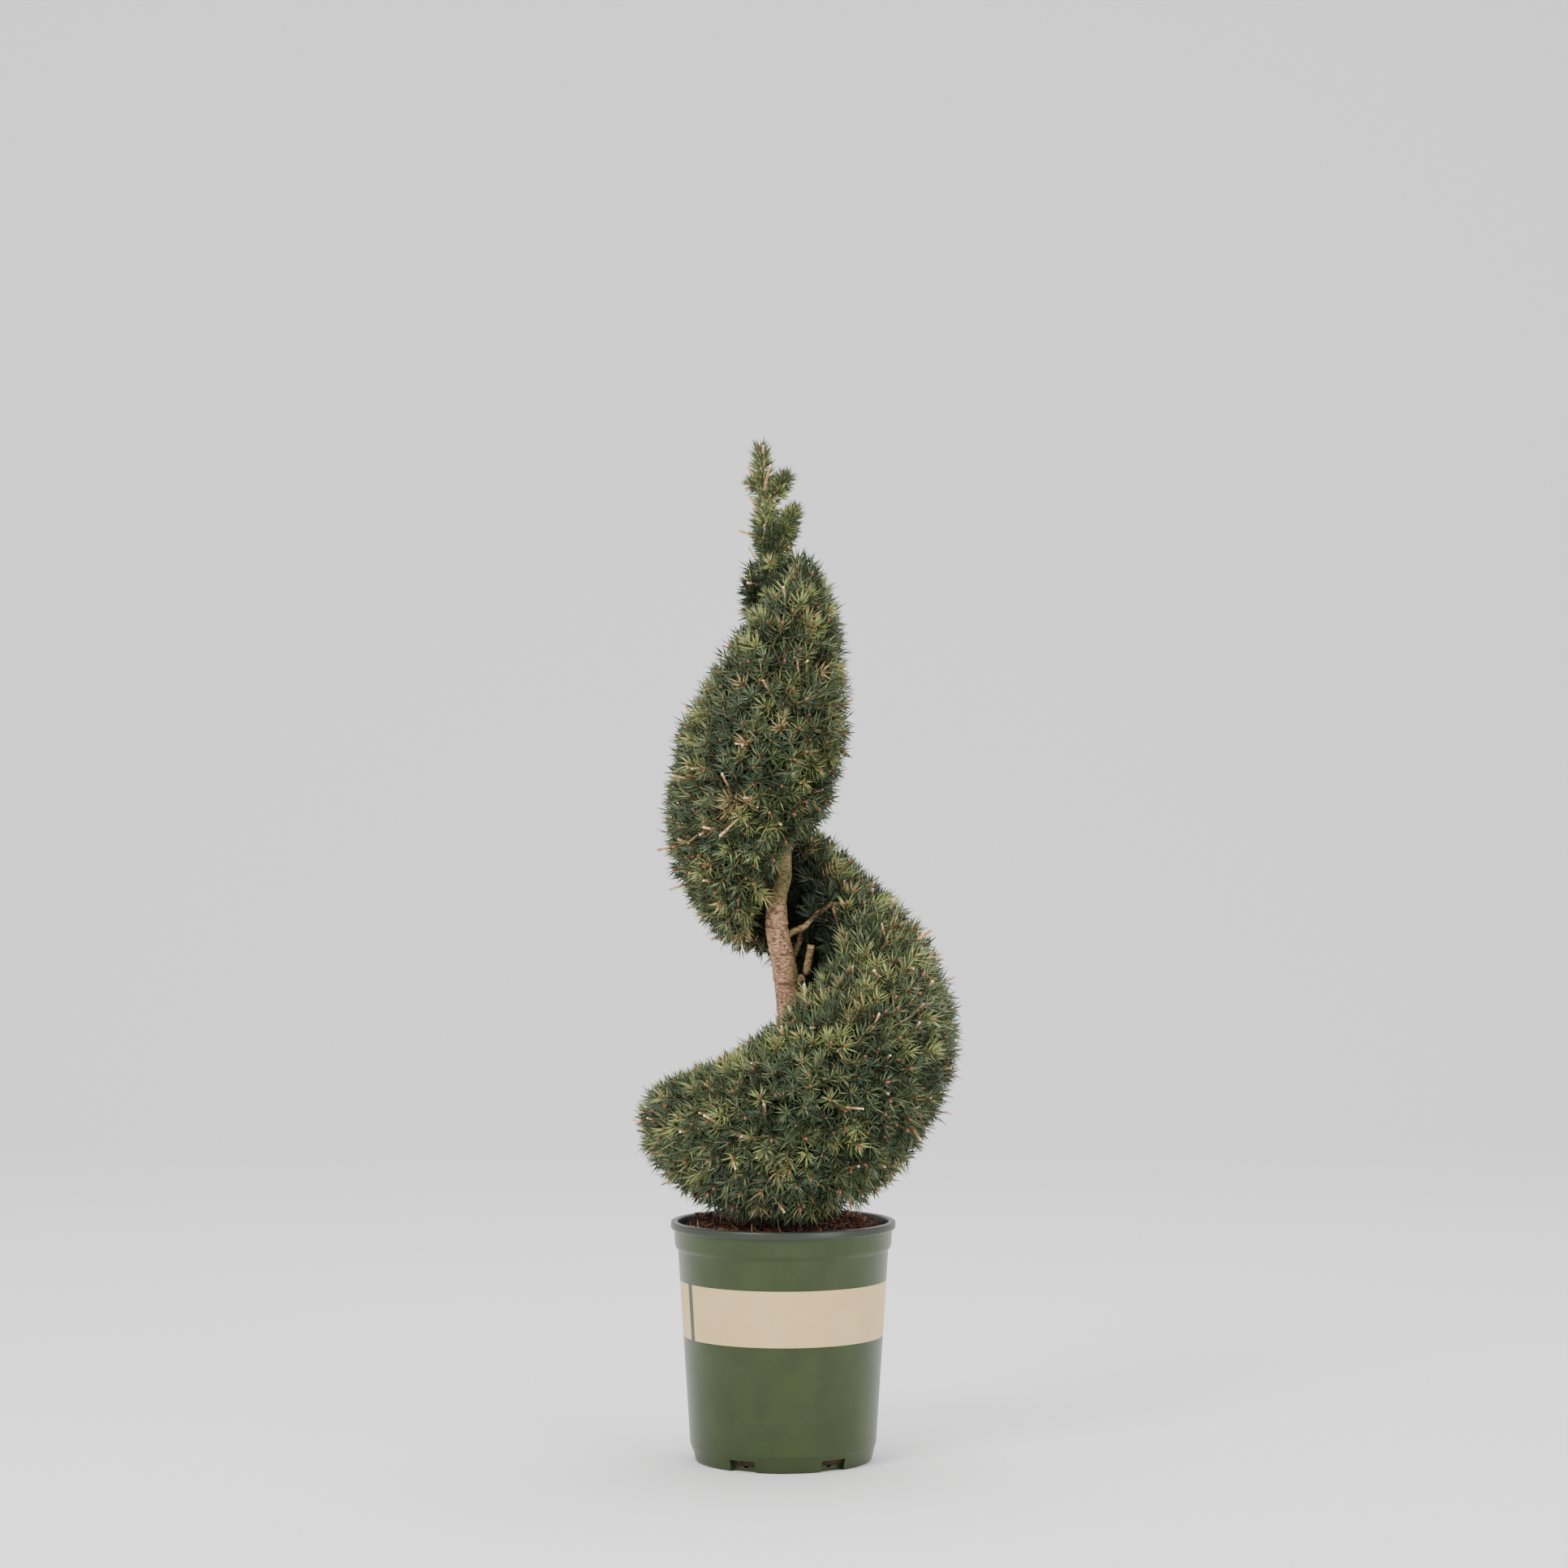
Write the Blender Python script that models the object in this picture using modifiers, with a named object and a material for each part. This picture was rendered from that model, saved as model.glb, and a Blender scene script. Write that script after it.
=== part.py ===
"""Dwarf Alberta spruce clipped to a spiral, standing in its nursery pot.

Metres, +Z up. The origin is the centre of the pot's flat underside and the
front of the plant looks along -Y. A turn is an angle in degrees about the
plant's heart line, from +X and anticlockwise seen from above. The foliage is
one ribbon that climbs with the turn, from a tail low on the left (180) across
the front (270), round the back (450) and on to the top.
"""
import math
import random

import bmesh
import bpy
from mathutils import Matrix, Quaternion, Vector, geometry, noise

OBJECT = "potted_dwarf_alberta_spruce"

# Pot: a number one nursery container, 165 mm over the lip.
POT_HEIGHT = 0.175
LIP_RADIUS = 0.0825
LIP_INNER_RADIUS = 0.0772
LIP_DEPTH = 0.0055
LIP_ROUND = 0.0012
COLLAR_TOP_RADIUS = 0.0800
COLLAR_FOOT_RADIUS = 0.0795
COLLAR_FOOT = 0.158
WALL_TOP_RADIUS = 0.07715
WALL_TOP = 0.154
WALL_FOOT_RADIUS = 0.06825
WALL_FOOT = 0.012
SEAM_STEP = 0.0006
BASE_RADIUS = 0.0654
BASE_ROUND = 0.002
WALL = 0.0018
FLOOR = 0.0025
POT_SIDES = 40

# Drain notches between the six feet, each with a pocket behind it and a drain
# hole through the back of the pocket.
FEET = 6
FIRST_NOTCH = 303.4
NOTCH_WIDTH = 0.020
NOTCH_HEIGHT = 0.0085
NOTCH_BACK = 0.0595
POCKET_FRONT = 0.0632
POCKET_FOOT = 0.0012
DRAIN_RADIUS = 0.0027
DRAIN_HEIGHT = 0.0050
DRAIN_DEPTH = 0.012
DRAIN_SIDES = 10

# Potting mix, mounded round the foot of the trunk.
MIX_LEVEL = 0.1685
MOUND_HEIGHT = 0.0175
MOUND_SPREAD = 0.034
LUMP = 0.0022
LUMP_SCALE = 60.0
HEAP = (-0.058, 0.030)
HEAP_HEIGHT = 0.006
HEAP_SPREAD = 0.013
SEAT_MARGIN = 0.003
MIX_RINGS = 6
MIX_SIDES = 30

# Trunk: x, y, height and radius of each station, from ground to top whorl.
FOOT = Vector((0.0185, 0.004, 0.1870))
TRUNK = [
    (0.0185, 0.004, 0.1870, 0.0135),
    (0.0170, 0.004, 0.2000, 0.0116),
    (0.0130, 0.003, 0.2450, 0.0106),
    (0.0080, 0.001, 0.3000, 0.0102),
    (0.0055, 0.000, 0.3350, 0.0106),
    (0.0012, 0.000, 0.3600, 0.0091),
    (-0.0045, 0.000, 0.3870, 0.0086),
    (-0.0055, 0.000, 0.4090, 0.0076),
    (0.0000, 0.001, 0.4260, 0.0061),
    (0.0012, 0.002, 0.4520, 0.0048),
    (-0.0030, 0.002, 0.5100, 0.0044),
    (-0.0068, 0.001, 0.5800, 0.0036),
    (-0.0090, 0.000, 0.6500, 0.0024),
    (-0.0105, 0.000, 0.6850, 0.0018),
    (-0.0135, 0.000, 0.7050, 0.0015),
]
TRUNK_SIDES = 10

# Ribbon of foliage: height above the underside, or reach from the heart line,
# at a few turns. Low and high are its edges at the trunk, and widest is the
# height at which it reaches furthest out.
LOW = [(140, 0.200), (180, 0.181), (270, 0.178), (330, 0.190), (360, 0.206), (405, 0.287),
       (450, 0.356), (540, 0.377), (630, 0.443), (720, 0.472), (810, 0.560), (900, 0.630)]
WIDEST = [(140, 0.238), (180, 0.243), (270, 0.268), (330, 0.300), (360, 0.312), (405, 0.362),
          (450, 0.418), (540, 0.460), (630, 0.520), (720, 0.567), (810, 0.612), (900, 0.648)]
HIGH = [(140, 0.268), (180, 0.286), (225, 0.300), (270, 0.331), (330, 0.378), (360, 0.403), (405, 0.443),
        (450, 0.488), (540, 0.558), (630, 0.632), (720, 0.665), (810, 0.669), (900, 0.655)]
REACH = [(140, 0.102), (180, 0.115), (270, 0.119), (330, 0.1205), (360, 0.1205), (405, 0.111),
         (450, 0.098), (540, 0.084), (630, 0.070), (720, 0.054), (810, 0.039), (900, 0.018)]
HEART_FOOT = 0.012
HEART_LEAN = -0.0483
HEART_LEVEL = 0.186
INNER_SHARE = 0.30
TRUNK_ROOM = 0.007
TOP_ROUNDNESS = 2.35
UNDER_ROUNDNESS = 1.65
TAIL_TURN = 146.0
TOP_TURN = 885.0
RIBBON_TOP = 0.6690
NOSE = 24.0
NOSE_SHARE = 0.35

# Lengths of ribbon, one to a bough: name, the turn at which it ends, and the
# heights at which its bough leaves the trunk and meets its stem.
LENGTHS = [
    ("tail", 208, 0.214, 0.243),
    ("front_left_skirt", 258, 0.232, 0.262),
    ("front_right_skirt", 306, 0.252, 0.288),
    ("right_skirt", 352, 0.290, 0.326),
    ("right_flank", 398, 0.380, 0.408),
    ("back_rise", 450, 0.352, 0.396),
    ("back_left", 508, 0.398, 0.436),
    ("left_shoulder", 562, 0.409, 0.432),
    ("front_left_shoulder", 616, 0.446, 0.484),
    ("front_right_shoulder", 672, 0.480, 0.518),
    ("right_crest", 735, 0.524, 0.556),
    ("back_crest", 810, 0.572, 0.596),
    ("left_crest", TOP_TURN, 0.614, 0.630),
]

# Clumps above the ribbon, each with a stem of its own from the trunk: name,
# height at which the stem leaves the trunk, the stations of its stem and dense
# heart (x, y, height, radius), the side of the trunk that it keeps to, and the
# heights that it keeps between.
CLUMPS = [
    ("neck_right", [(-0.0077, -0.0003, 0.6760, 0.0011), (0.0005, -0.003, 0.6790, 0.0048),
                    (0.0050, -0.003, 0.6850, 0.0050), (0.0060, -0.002, 0.6910, 0.0018)], (-0.0098, 0.030),
     (0.6693, 0.7020)),
    ("neck_left", [(-0.0128, 0.001, 0.6745, 0.0010), (-0.0150, 0.003, 0.6765, 0.0026),
                   (-0.0165, 0.004, 0.6800, 0.0028), (-0.0170, 0.004, 0.6840, 0.0010)], (-0.035, -0.0101),
     (0.6693, 0.7020)),
    ("side_tuft", [(-0.0112, -0.0002, 0.7030, 0.0007), (-0.0050, -0.002, 0.7070, 0.0022),
                   (-0.0010, -0.002, 0.7130, 0.0036), (-0.0003, -0.002, 0.7180, 0.0014)], (-0.0075, 0.020),
     (0.7023, 0.7290)),
    ("leader", [(-0.0136, 0.000, 0.7053, 0.0015), (-0.0142, 0.000, 0.7130, 0.0021),
                (-0.0152, 0.000, 0.7240, 0.0022), (-0.0163, 0.000, 0.7400, 0.0008)], (-0.035, -0.0078),
     (0.7023, 0.7600)),
]
CLUMP_SIDES = 6
CLUMP_SHOOTS = 9
CLUMP_SHOOT_SIZE = 0.55
CLUMP_SPREAD = 0.75
GOLDEN_ANGLE = math.radians(137.5)

# Shoots: slim three-sided twigs whose needles stand out all round.
FUR = 0.016
FUR_SHARE = 0.30
SHOOT_ROOT = 0.0045
SHOOT_REACH = 0.84
SHOOT_RADIUS = 0.0035
SHOOT_SIDES = 3
SHOOT_TWIST = 70.0
SHOOT_TIERS = (0.22, 0.58)
SHOOT_LENGTHS = (0.90, 1.10)
SHOOT_WOBBLE = 0.16
FROM_SKIN = 0.75
FROM_STEM = 0.35
UPWARD = 0.12
NEEDLE_OUT = 0.0102
NEEDLE_FORWARD = 0.0056
SHOOT_SPACING = 0.0212
SHOOT_TRIES = 1800
EDGE_LEAN = 84.0

# Dense heart of each length of ribbon.
CORE_STEP = 13.0
CORE_LEANS = (90, 62, 38, 18, 0, -18, -38, -62, -90)
CORE_LUMPS = 0.05
CORE_LUMP_SCALE = (12.0, 25.0)
CORE_INSET_SHARE = 0.3

# Boughs, and the room that shoots leave round limbs and potting mix.
BOUGH_SHARE = 0.32
BOUGH_TAPER = 0.75
BOUGH_SAG = 0.06
BOUGH_SIDES = 7
STEM_REACH = 0.005
STEM_LENGTH = 0.020
STEM_TAPER = 0.6
STUB = [(0.0050, -0.002, 0.3430), (0.0170, -0.003, 0.3560), (0.0205, -0.003, 0.3770)]
STUB_RADIUS = 0.0030
ROOM = 0.002
GAP = 0.0003


def clear_scene():
    for item in list(bpy.data.objects):
        bpy.data.objects.remove(item, do_unlink=True)


def new_collection(name):
    collection = bpy.data.collections.new(name)
    bpy.context.scene.collection.children.link(collection)
    return collection


def material(name, colour, roughness):
    finish = bpy.data.materials.new(name)
    finish.use_nodes = True
    shader = finish.node_tree.nodes["Principled BSDF"]
    shader.inputs["Base Color"].default_value = (*colour, 1.0)
    shader.inputs["Roughness"].default_value = roughness
    shader.inputs["Metallic"].default_value = 0.0
    return finish


def object_from(mesh, name, collection, finish):
    """Turn a bmesh into a named object of one material, its faces pointing out."""
    if mesh.calc_volume(signed=True) < 0:
        bmesh.ops.reverse_faces(mesh, faces=mesh.faces)
    data = bpy.data.meshes.new(name)
    mesh.to_mesh(data)
    mesh.free()
    data.materials.append(finish)
    item = bpy.data.objects.new(name, data)
    collection.objects.link(item)
    return item


def apply_boolean(item, tools, operation, solver="EXACT"):
    """Join or cut an object by a whole collection, then remove the tools."""
    step = item.modifiers.new(operation.lower(), "BOOLEAN")
    step.operation = operation
    step.operand_type = "COLLECTION"
    step.collection = tools
    step.solver = solver
    depsgraph = bpy.context.evaluated_depsgraph_get()
    result = bpy.data.meshes.new_from_object(item.evaluated_get(depsgraph))
    item.modifiers.clear()
    item.data = result
    for tool in list(tools.objects):
        bpy.data.objects.remove(tool, do_unlink=True)
    bpy.data.collections.remove(tools)


def along(keys, turn):
    """Value of a keyed size at a turn, on a smooth curve through the keys."""
    if turn <= keys[0][0]:
        return keys[0][1]
    if turn >= keys[-1][0]:
        return keys[-1][1]
    first = next(i for i in range(len(keys) - 1) if turn <= keys[i + 1][0])
    slopes = []
    for i in (first, first + 1):
        before = keys[max(i - 1, 0)]
        after = keys[min(i + 1, len(keys) - 1)]
        slopes.append((after[1] - before[1]) / (after[0] - before[0]))
    start, end = keys[first], keys[first + 1]
    span = end[0] - start[0]
    u = (turn - start[0]) / span
    return ((1 + 2 * u) * (1 - u) ** 2 * start[1] + u * (1 - u) ** 2 * span * slopes[0]
            + u * u * (3 - 2 * u) * end[1] - u * u * (1 - u) * span * slopes[1])


def heart(height):
    """Where the straight line up the middle of the plant stands, at a height."""
    return HEART_FOOT + HEART_LEAN * (height - HEART_LEVEL)


def place(turn, reach, height):
    """World point at a turn and a reach from the heart line."""
    angle = math.radians(turn)
    return Vector((heart(height) + reach * math.cos(angle), reach * math.sin(angle), height))


def trunk_at(height):
    """Centre and radius of the trunk at a height."""
    low, high = next((a, b) for a, b in zip(TRUNK, TRUNK[1:]) if height <= b[2] or b is TRUNK[-1])
    u = min(max((height - low[2]) / (high[2] - low[2]), 0.0), 1.0)
    station = [a + (b - a) * u for a, b in zip(low, high)]
    return Vector(station[:3]), station[3]


def inner_reach(turn, inset):
    """How near the heart line the ribbon comes: the trunk has room inside it."""
    trunk_radius = trunk_at(along(WIDEST, turn))[1]
    return max(INNER_SHARE * along(REACH, turn), trunk_radius + TRUNK_ROOM) + CORE_INSET_SHARE * inset


def fur(turn):
    """How far the shoots stand out of the core: less where the ribbon is slim."""
    return min(FUR, FUR_SHARE * along(REACH, turn))


def outline(turn, lean, inset):
    """Reach and height of the ribbon's skin, set in by inset.

    Lean runs from 90 degrees on top of the ribbon, through 0 where it reaches
    furthest out, to -90 under it.
    """
    inner = inner_reach(turn, inset)
    outer = max(along(REACH, turn) - inset, inner + ROOM)
    middle = along(WIDEST, turn)
    edge = along(HIGH, turn) - inset if lean > 0 else along(LOW, turn) + inset
    power = 2.0 / (TOP_ROUNDNESS if lean > 0 else UNDER_ROUNDNESS)
    angle = math.radians(lean)
    reach = inner + (outer - inner) * abs(math.cos(angle)) ** power
    height = middle + (edge - middle) * abs(math.sin(angle)) ** power
    from_end = min(turn - TAIL_TURN, TOP_TURN - turn)
    swell = math.sqrt(max(1.0 - max(1.0 - from_end / NOSE, 0.0) ** 2, 0.0))
    swell = NOSE_SHARE + (1.0 - NOSE_SHARE) * swell
    centre = 0.5 * (inner + outer)
    return centre + (reach - centre) * swell, middle + (height - middle) * swell


def skin(turn, lean, inset):
    return place(turn, *outline(turn, lean, inset))


def skin_normal(turn, lean, inset):
    """Outward direction of the ribbon's skin."""
    step = 1.5
    across = skin(turn, lean + step, inset) - skin(turn, lean - step, inset)
    forward = skin(turn + step, lean, inset) - skin(turn - step, lean, inset)
    return forward.cross(across).normalized()


def mix_height(x, y):
    """Top of the potting mix: level near the wall and mounded at the trunk."""
    from_foot = math.hypot(x - FOOT.x, y - FOOT.y)
    mound = MOUND_HEIGHT * math.exp(-(from_foot / MOUND_SPREAD) ** 2)
    lumps = LUMP * noise.noise(Vector((x, y, 0.0)) * LUMP_SCALE)
    from_heap = math.hypot(x - HEAP[0], y - HEAP[1])
    heap = HEAP_HEIGHT * math.exp(-(from_heap / HEAP_SPREAD) ** 2)
    return MIX_LEVEL + mound + lumps + heap


def turned(name, profile, sides, collection, finish):
    """A closed profile of (radius, height) points, turned about the Z axis."""
    mesh = bmesh.new()
    ring = [mesh.verts.new((radius, 0.0, height)) for radius, height in profile]
    for start, end in zip(ring, ring[1:]):
        mesh.edges.new((start, end))
    data = bpy.data.meshes.new(name)
    mesh.to_mesh(data)
    mesh.free()
    data.materials.append(finish)
    item = bpy.data.objects.new(name, data)
    collection.objects.link(item)
    spin = item.modifiers.new("turn", "SCREW")
    spin.steps = sides
    spin.render_steps = sides
    spin.use_merge_vertices = True
    spin.merge_threshold = 0.00002
    return item


def wall_radius(height):
    """Outer radius of the pot's tapered wall at a height."""
    share = (height - WALL_FOOT) / (WALL_TOP - WALL_FOOT)
    return WALL_FOOT_RADIUS + (WALL_TOP_RADIUS - WALL_FOOT_RADIUS) * share


def pot_profile():
    """The wall from the lip's top down the outside, and back up the inside."""
    lip_foot = POT_HEIGHT - LIP_DEPTH
    base_top = WALL_FOOT_RADIUS - SEAM_STEP
    corner = []
    for step in range(4):
        angle = math.radians(30.0 * step)
        corner.append((BASE_RADIUS - BASE_ROUND * (1 - math.cos(angle)), BASE_ROUND * (1 - math.sin(angle))))
    return [
        (LIP_INNER_RADIUS, lip_foot),
        (LIP_INNER_RADIUS, POT_HEIGHT - LIP_ROUND),
        (LIP_INNER_RADIUS + LIP_ROUND, POT_HEIGHT),
        (LIP_RADIUS - LIP_ROUND, POT_HEIGHT),
        (LIP_RADIUS, POT_HEIGHT - LIP_ROUND),
        (LIP_RADIUS, lip_foot + LIP_ROUND * 0.5),
        (LIP_RADIUS - LIP_ROUND * 0.5, lip_foot),
        (COLLAR_TOP_RADIUS, lip_foot),
        (COLLAR_FOOT_RADIUS, COLLAR_FOOT),
        (COLLAR_FOOT_RADIUS - 0.0009, COLLAR_FOOT - 0.0026),
        (WALL_TOP_RADIUS, WALL_TOP),
        (WALL_FOOT_RADIUS, WALL_FOOT),
        (base_top, WALL_FOOT - SEAM_STEP),
        *corner,
        (0.0, 0.0),
        (0.0, FLOOR),
        (BASE_RADIUS - BASE_ROUND - WALL, FLOOR),
        (BASE_RADIUS - WALL, FLOOR + BASE_ROUND),
        (WALL_FOOT_RADIUS - WALL, WALL_FOOT),
        (WALL_TOP_RADIUS - WALL, WALL_TOP),
        (LIP_INNER_RADIUS, lip_foot),
    ]


def block(name, collection, finish, turn, inner, outer, half_width, bottom, top):
    """A box that stands along a turn of the pot, between two radii."""
    mesh = bmesh.new()
    bmesh.ops.create_cube(mesh, size=1.0)
    bmesh.ops.scale(mesh, verts=mesh.verts, vec=(outer - inner, 2 * half_width, top - bottom))
    bmesh.ops.translate(mesh, verts=mesh.verts, vec=((outer + inner) / 2, 0, (top + bottom) / 2))
    bmesh.ops.rotate(mesh, verts=mesh.verts, matrix=Matrix.Rotation(math.radians(turn), 3, "Z"))
    object_from(mesh, name, collection, finish)


def notch_turns():
    return [FIRST_NOTCH + 360.0 / FEET * i for i in range(FEET)]


def pocket_blocks(name, finish, front, foot, grow):
    """The pockets behind the drain notches, grown by grow at the back, sides and top."""
    pockets = new_collection(name)
    for turn in notch_turns():
        block(name, pockets, finish, turn, NOTCH_BACK - WALL - grow, front,
              NOTCH_WIDTH / 2 + WALL + grow, foot, NOTCH_HEIGHT + WALL + grow)
    return pockets


def build_pot(collection):
    plastic = material("pot_plastic", (0.065, 0.105, 0.034), 0.42)
    pot = turned("pot", pot_profile(), POT_SIDES, collection, plastic)
    apply_boolean(pot, pocket_blocks("pockets", plastic, POCKET_FRONT, POCKET_FOOT, 0.0), "UNION")
    cutters = new_collection("notch_cutters")
    for turn in notch_turns():
        block("notch", cutters, plastic, turn, NOTCH_BACK, LIP_RADIUS, NOTCH_WIDTH / 2, -NOTCH_HEIGHT, NOTCH_HEIGHT)
        drain = bmesh.new()
        bmesh.ops.create_cone(drain, cap_ends=True, segments=DRAIN_SIDES, radius1=DRAIN_RADIUS,
                              radius2=DRAIN_RADIUS, depth=DRAIN_DEPTH)
        bmesh.ops.rotate(drain, verts=drain.verts, matrix=Matrix.Rotation(math.radians(90), 3, "Y"))
        bmesh.ops.translate(drain, verts=drain.verts, vec=(NOTCH_BACK, 0, DRAIN_HEIGHT))
        bmesh.ops.rotate(drain, verts=drain.verts, matrix=Matrix.Rotation(math.radians(turn), 3, "Z"))
        object_from(drain, "drain", cutters, plastic)
    apply_boolean(pot, cutters, "DIFFERENCE")


def build_mix(collection):
    """Potting mix that fills the pot, 0.3 mm clear of its wall and floor."""
    top_radius = WALL_TOP_RADIUS - WALL - GAP * 2
    rings = [(top_radius * (1 - i / MIX_RINGS), MIX_LEVEL) for i in range(MIX_RINGS + 1)]
    floor = FLOOR + GAP
    inside = [
        (0.0, floor),
        (BASE_RADIUS - BASE_ROUND - WALL - GAP * 2, floor),
        (BASE_RADIUS - WALL - GAP * 3, floor + BASE_ROUND),
        (WALL_FOOT_RADIUS - WALL - GAP * 3, WALL_FOOT),
        (wall_radius(0.15) - WALL - GAP * 2, 0.15),
    ]
    profile = rings[::-1] + inside[::-1]
    fibre = material("mix", (0.035, 0.018, 0.012), 0.95)
    mix = turned("potting_mix", profile, MIX_SIDES, collection, fibre)
    apply_boolean(mix, pocket_blocks("pocket_room", fibre, LIP_RADIUS, 0.0, GAP), "DIFFERENCE")
    seat = trunk_at(FOOT.z)[1] + SEAT_MARGIN
    for point in mix.data.vertices:
        if point.co.z > MIX_LEVEL - GAP:
            from_foot = math.hypot(point.co.x - FOOT.x, point.co.y - FOOT.y)
            level = mix_height(point.co.x, point.co.y)
            point.co.z = FOOT.z - GAP if from_foot < seat else min(level, FOOT.z - GAP)


def tube_mesh(stations, sides, squared=False):
    """A limb with the given (centre, radius) stations and flat ends."""
    mesh = bmesh.new()
    rings = []
    for i, (centre, radius) in enumerate(stations):
        before = stations[max(i - 1, 0)][0]
        after = stations[min(i + 1, len(stations) - 1)][0]
        direction = Vector((0, 0, 1)) if squared else (after - before).normalized()
        turn = direction.to_track_quat("Z", "Y")
        made = bmesh.ops.create_circle(mesh, cap_ends=False, segments=sides, radius=radius)
        for vert in made["verts"]:
            vert.co = centre + turn @ vert.co
        rings.append(made["verts"])
    for low, high in zip(rings, rings[1:]):
        for i in range(sides):
            j = (i + 1) % sides
            mesh.faces.new((low[i], low[j], high[j], high[i]))
    mesh.faces.new(rings[0][::-1])
    mesh.faces.new(rings[-1])
    return mesh


def trunk_mesh(grow):
    stations = [(Vector(station[:3]), station[3] + grow) for station in TRUNK]
    return tube_mesh(stations, TRUNK_SIDES, squared=True)


def build_trunk(collection):
    bark = material("bark", (0.27, 0.19, 0.12), 0.9)
    return object_from(trunk_mesh(0.0), "trunk", collection, bark)


def bough_line(turn, foot_height, tip_height):
    """Foot, elbow and tip of the bough that carries the length of ribbon round a turn."""
    foot, _ = trunk_at(foot_height)
    tip = place(turn, inner_reach(turn, fur(turn)) - STEM_REACH, tip_height)
    elbow = foot.lerp(tip, 0.5) - Vector((0, 0, BOUGH_SAG * (tip - foot).length))
    return foot, elbow, tip


def limbs():
    """Name, line and foot radius of every bough, the cut stub among them."""
    found = []
    start = TAIL_TURN
    for name, end, foot_height, tip_height in LENGTHS:
        line = bough_line(0.5 * (start + end), foot_height, tip_height)
        found.append((name + "_bough", line, BOUGH_SHARE * trunk_at(foot_height)[1]))
        start = end
    found.append(("cut_stub", [Vector(point) for point in STUB], STUB_RADIUS))
    return found


def build_limb(name, line, thick, collection, bark):
    """One tapering limb that starts at the trunk's bark."""
    taper = (1.0, (1.0 + BOUGH_TAPER) / 2, BOUGH_TAPER)
    stations = [(point, thick * share) for point, share in zip(line, taper)]
    limb = object_from(tube_mesh(stations, BOUGH_SIDES), name, collection, bark)
    cutter = new_collection("trunk_room")
    object_from(trunk_mesh(GAP), "trunk_room", cutter, bark)
    apply_boolean(limb, cutter, "DIFFERENCE")
    keep_main_body(limb)


def core_mesh(start, end):
    """The dense inside of a length of ribbon, between two turns."""
    count = max(round((end - start) / CORE_STEP), 2)
    mesh = bmesh.new()
    rings = []
    for i in range(count + 1):
        turn = start + (end - start) * i / count
        ring = []
        for lean in CORE_LEANS:
            reach, height = outline(turn, lean, fur(turn))
            where = Vector((turn / CORE_LUMP_SCALE[0], lean / CORE_LUMP_SCALE[1], 0.0))
            reach *= 1.0 + CORE_LUMPS * noise.noise(where)
            room = math.degrees(math.asin(GAP / reach))
            inward = room if i == 0 else -room if i == count else 0.0
            ring.append(mesh.verts.new(place(turn + inward, reach, height)))
        rings.append(ring)
    for low, high in zip(rings, rings[1:]):
        for i in range(len(CORE_LEANS)):
            j = (i + 1) % len(CORE_LEANS)
            mesh.faces.new((low[i], high[i], high[j], low[j]))
    mesh.faces.new(rings[0])
    mesh.faces.new(rings[-1][::-1])
    return mesh


def clear_of_limbs(point):
    """Whether a point is clear of the trunk, the boughs and the potting mix."""
    centre, radius = trunk_at(point.z)
    if point.z < TRUNK[-1][2] + ROOM and (point - centre).xy.length < radius + ROOM:
        return False
    if point.z < mix_height(point.x, point.y) + ROOM:
        return False
    for _, line, thick in LIMBS:
        for a, b in zip(line, line[1:]):
            nearest, share = geometry.intersect_point_line(point, a, b)
            nearest = a if share < 0 else b if share > 1 else nearest
            if (point - nearest).length < thick + ROOM:
                return False
    return True


def between_turns(start, end):
    """Rule that keeps a length of ribbon to its own space, between two turns."""
    def allowed(point):
        off = Vector((point.x - heart(point.z), point.y))
        for turn, side in ((start, 1), (end, -1)):
            wall = Vector((math.cos(math.radians(turn)), math.sin(math.radians(turn))))
            if wall.dot(off) > 0 and side * wall.cross(off) < GAP:
                return False
        return point.z < RIBBON_TOP and clear_of_limbs(point)
    return allowed


def between_sides(across, heights):
    """Rule that keeps a clump to its own side of the trunk and its own heights."""
    def allowed(point):
        inside = across[0] < point.x < across[1] and heights[0] < point.z < heights[1]
        return inside and clear_of_limbs(point)
    return allowed


def shoot_mesh(root, heading, length, roll, size, allowed):
    """A shoot: a twisted three-sided twig whose side faces are drawn out to needles.

    A needle that would leave the space stays flat. A twig that would is left
    out, and None comes back.
    """
    mesh = bmesh.new()
    bmesh.ops.create_cone(mesh, cap_ends=True, segments=SHOOT_SIDES, radius1=SHOOT_RADIUS * size, radius2=0.0,
                          depth=length)
    bmesh.ops.translate(mesh, verts=mesh.verts, vec=(0, 0, length / 2))
    for share in SHOOT_TIERS:
        whole = mesh.verts[:] + mesh.edges[:] + mesh.faces[:]
        bmesh.ops.bisect_plane(mesh, geom=whole, plane_co=(0, 0, share * length), plane_no=(0, 0, 1))
    for vert in mesh.verts:
        vert.co = Matrix.Rotation(math.radians(SHOOT_TWIST) * vert.co.z / length, 3, "Z") @ vert.co
    bare = SHOOT_TIERS[0] * length
    sides = [face for face in mesh.faces if face.calc_center_median().z > bare]
    tips = bmesh.ops.poke(mesh, faces=sides)["verts"]
    facing = heading.to_track_quat("Z", "Y").to_matrix() @ Matrix.Rotation(roll, 3, "Z")
    for vert in mesh.verts:
        spot = root + facing @ vert.co
        if vert in tips:
            outward = Vector((vert.co.x, vert.co.y, 0)).normalized()
            drawn = vert.co + (outward * NEEDLE_OUT + Vector((0, 0, NEEDLE_FORWARD))) * size
            if allowed(root + facing @ drawn):
                spot = root + facing @ drawn
        if not allowed(spot):
            mesh.free()
            return None
        vert.co = spot
    return mesh


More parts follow.
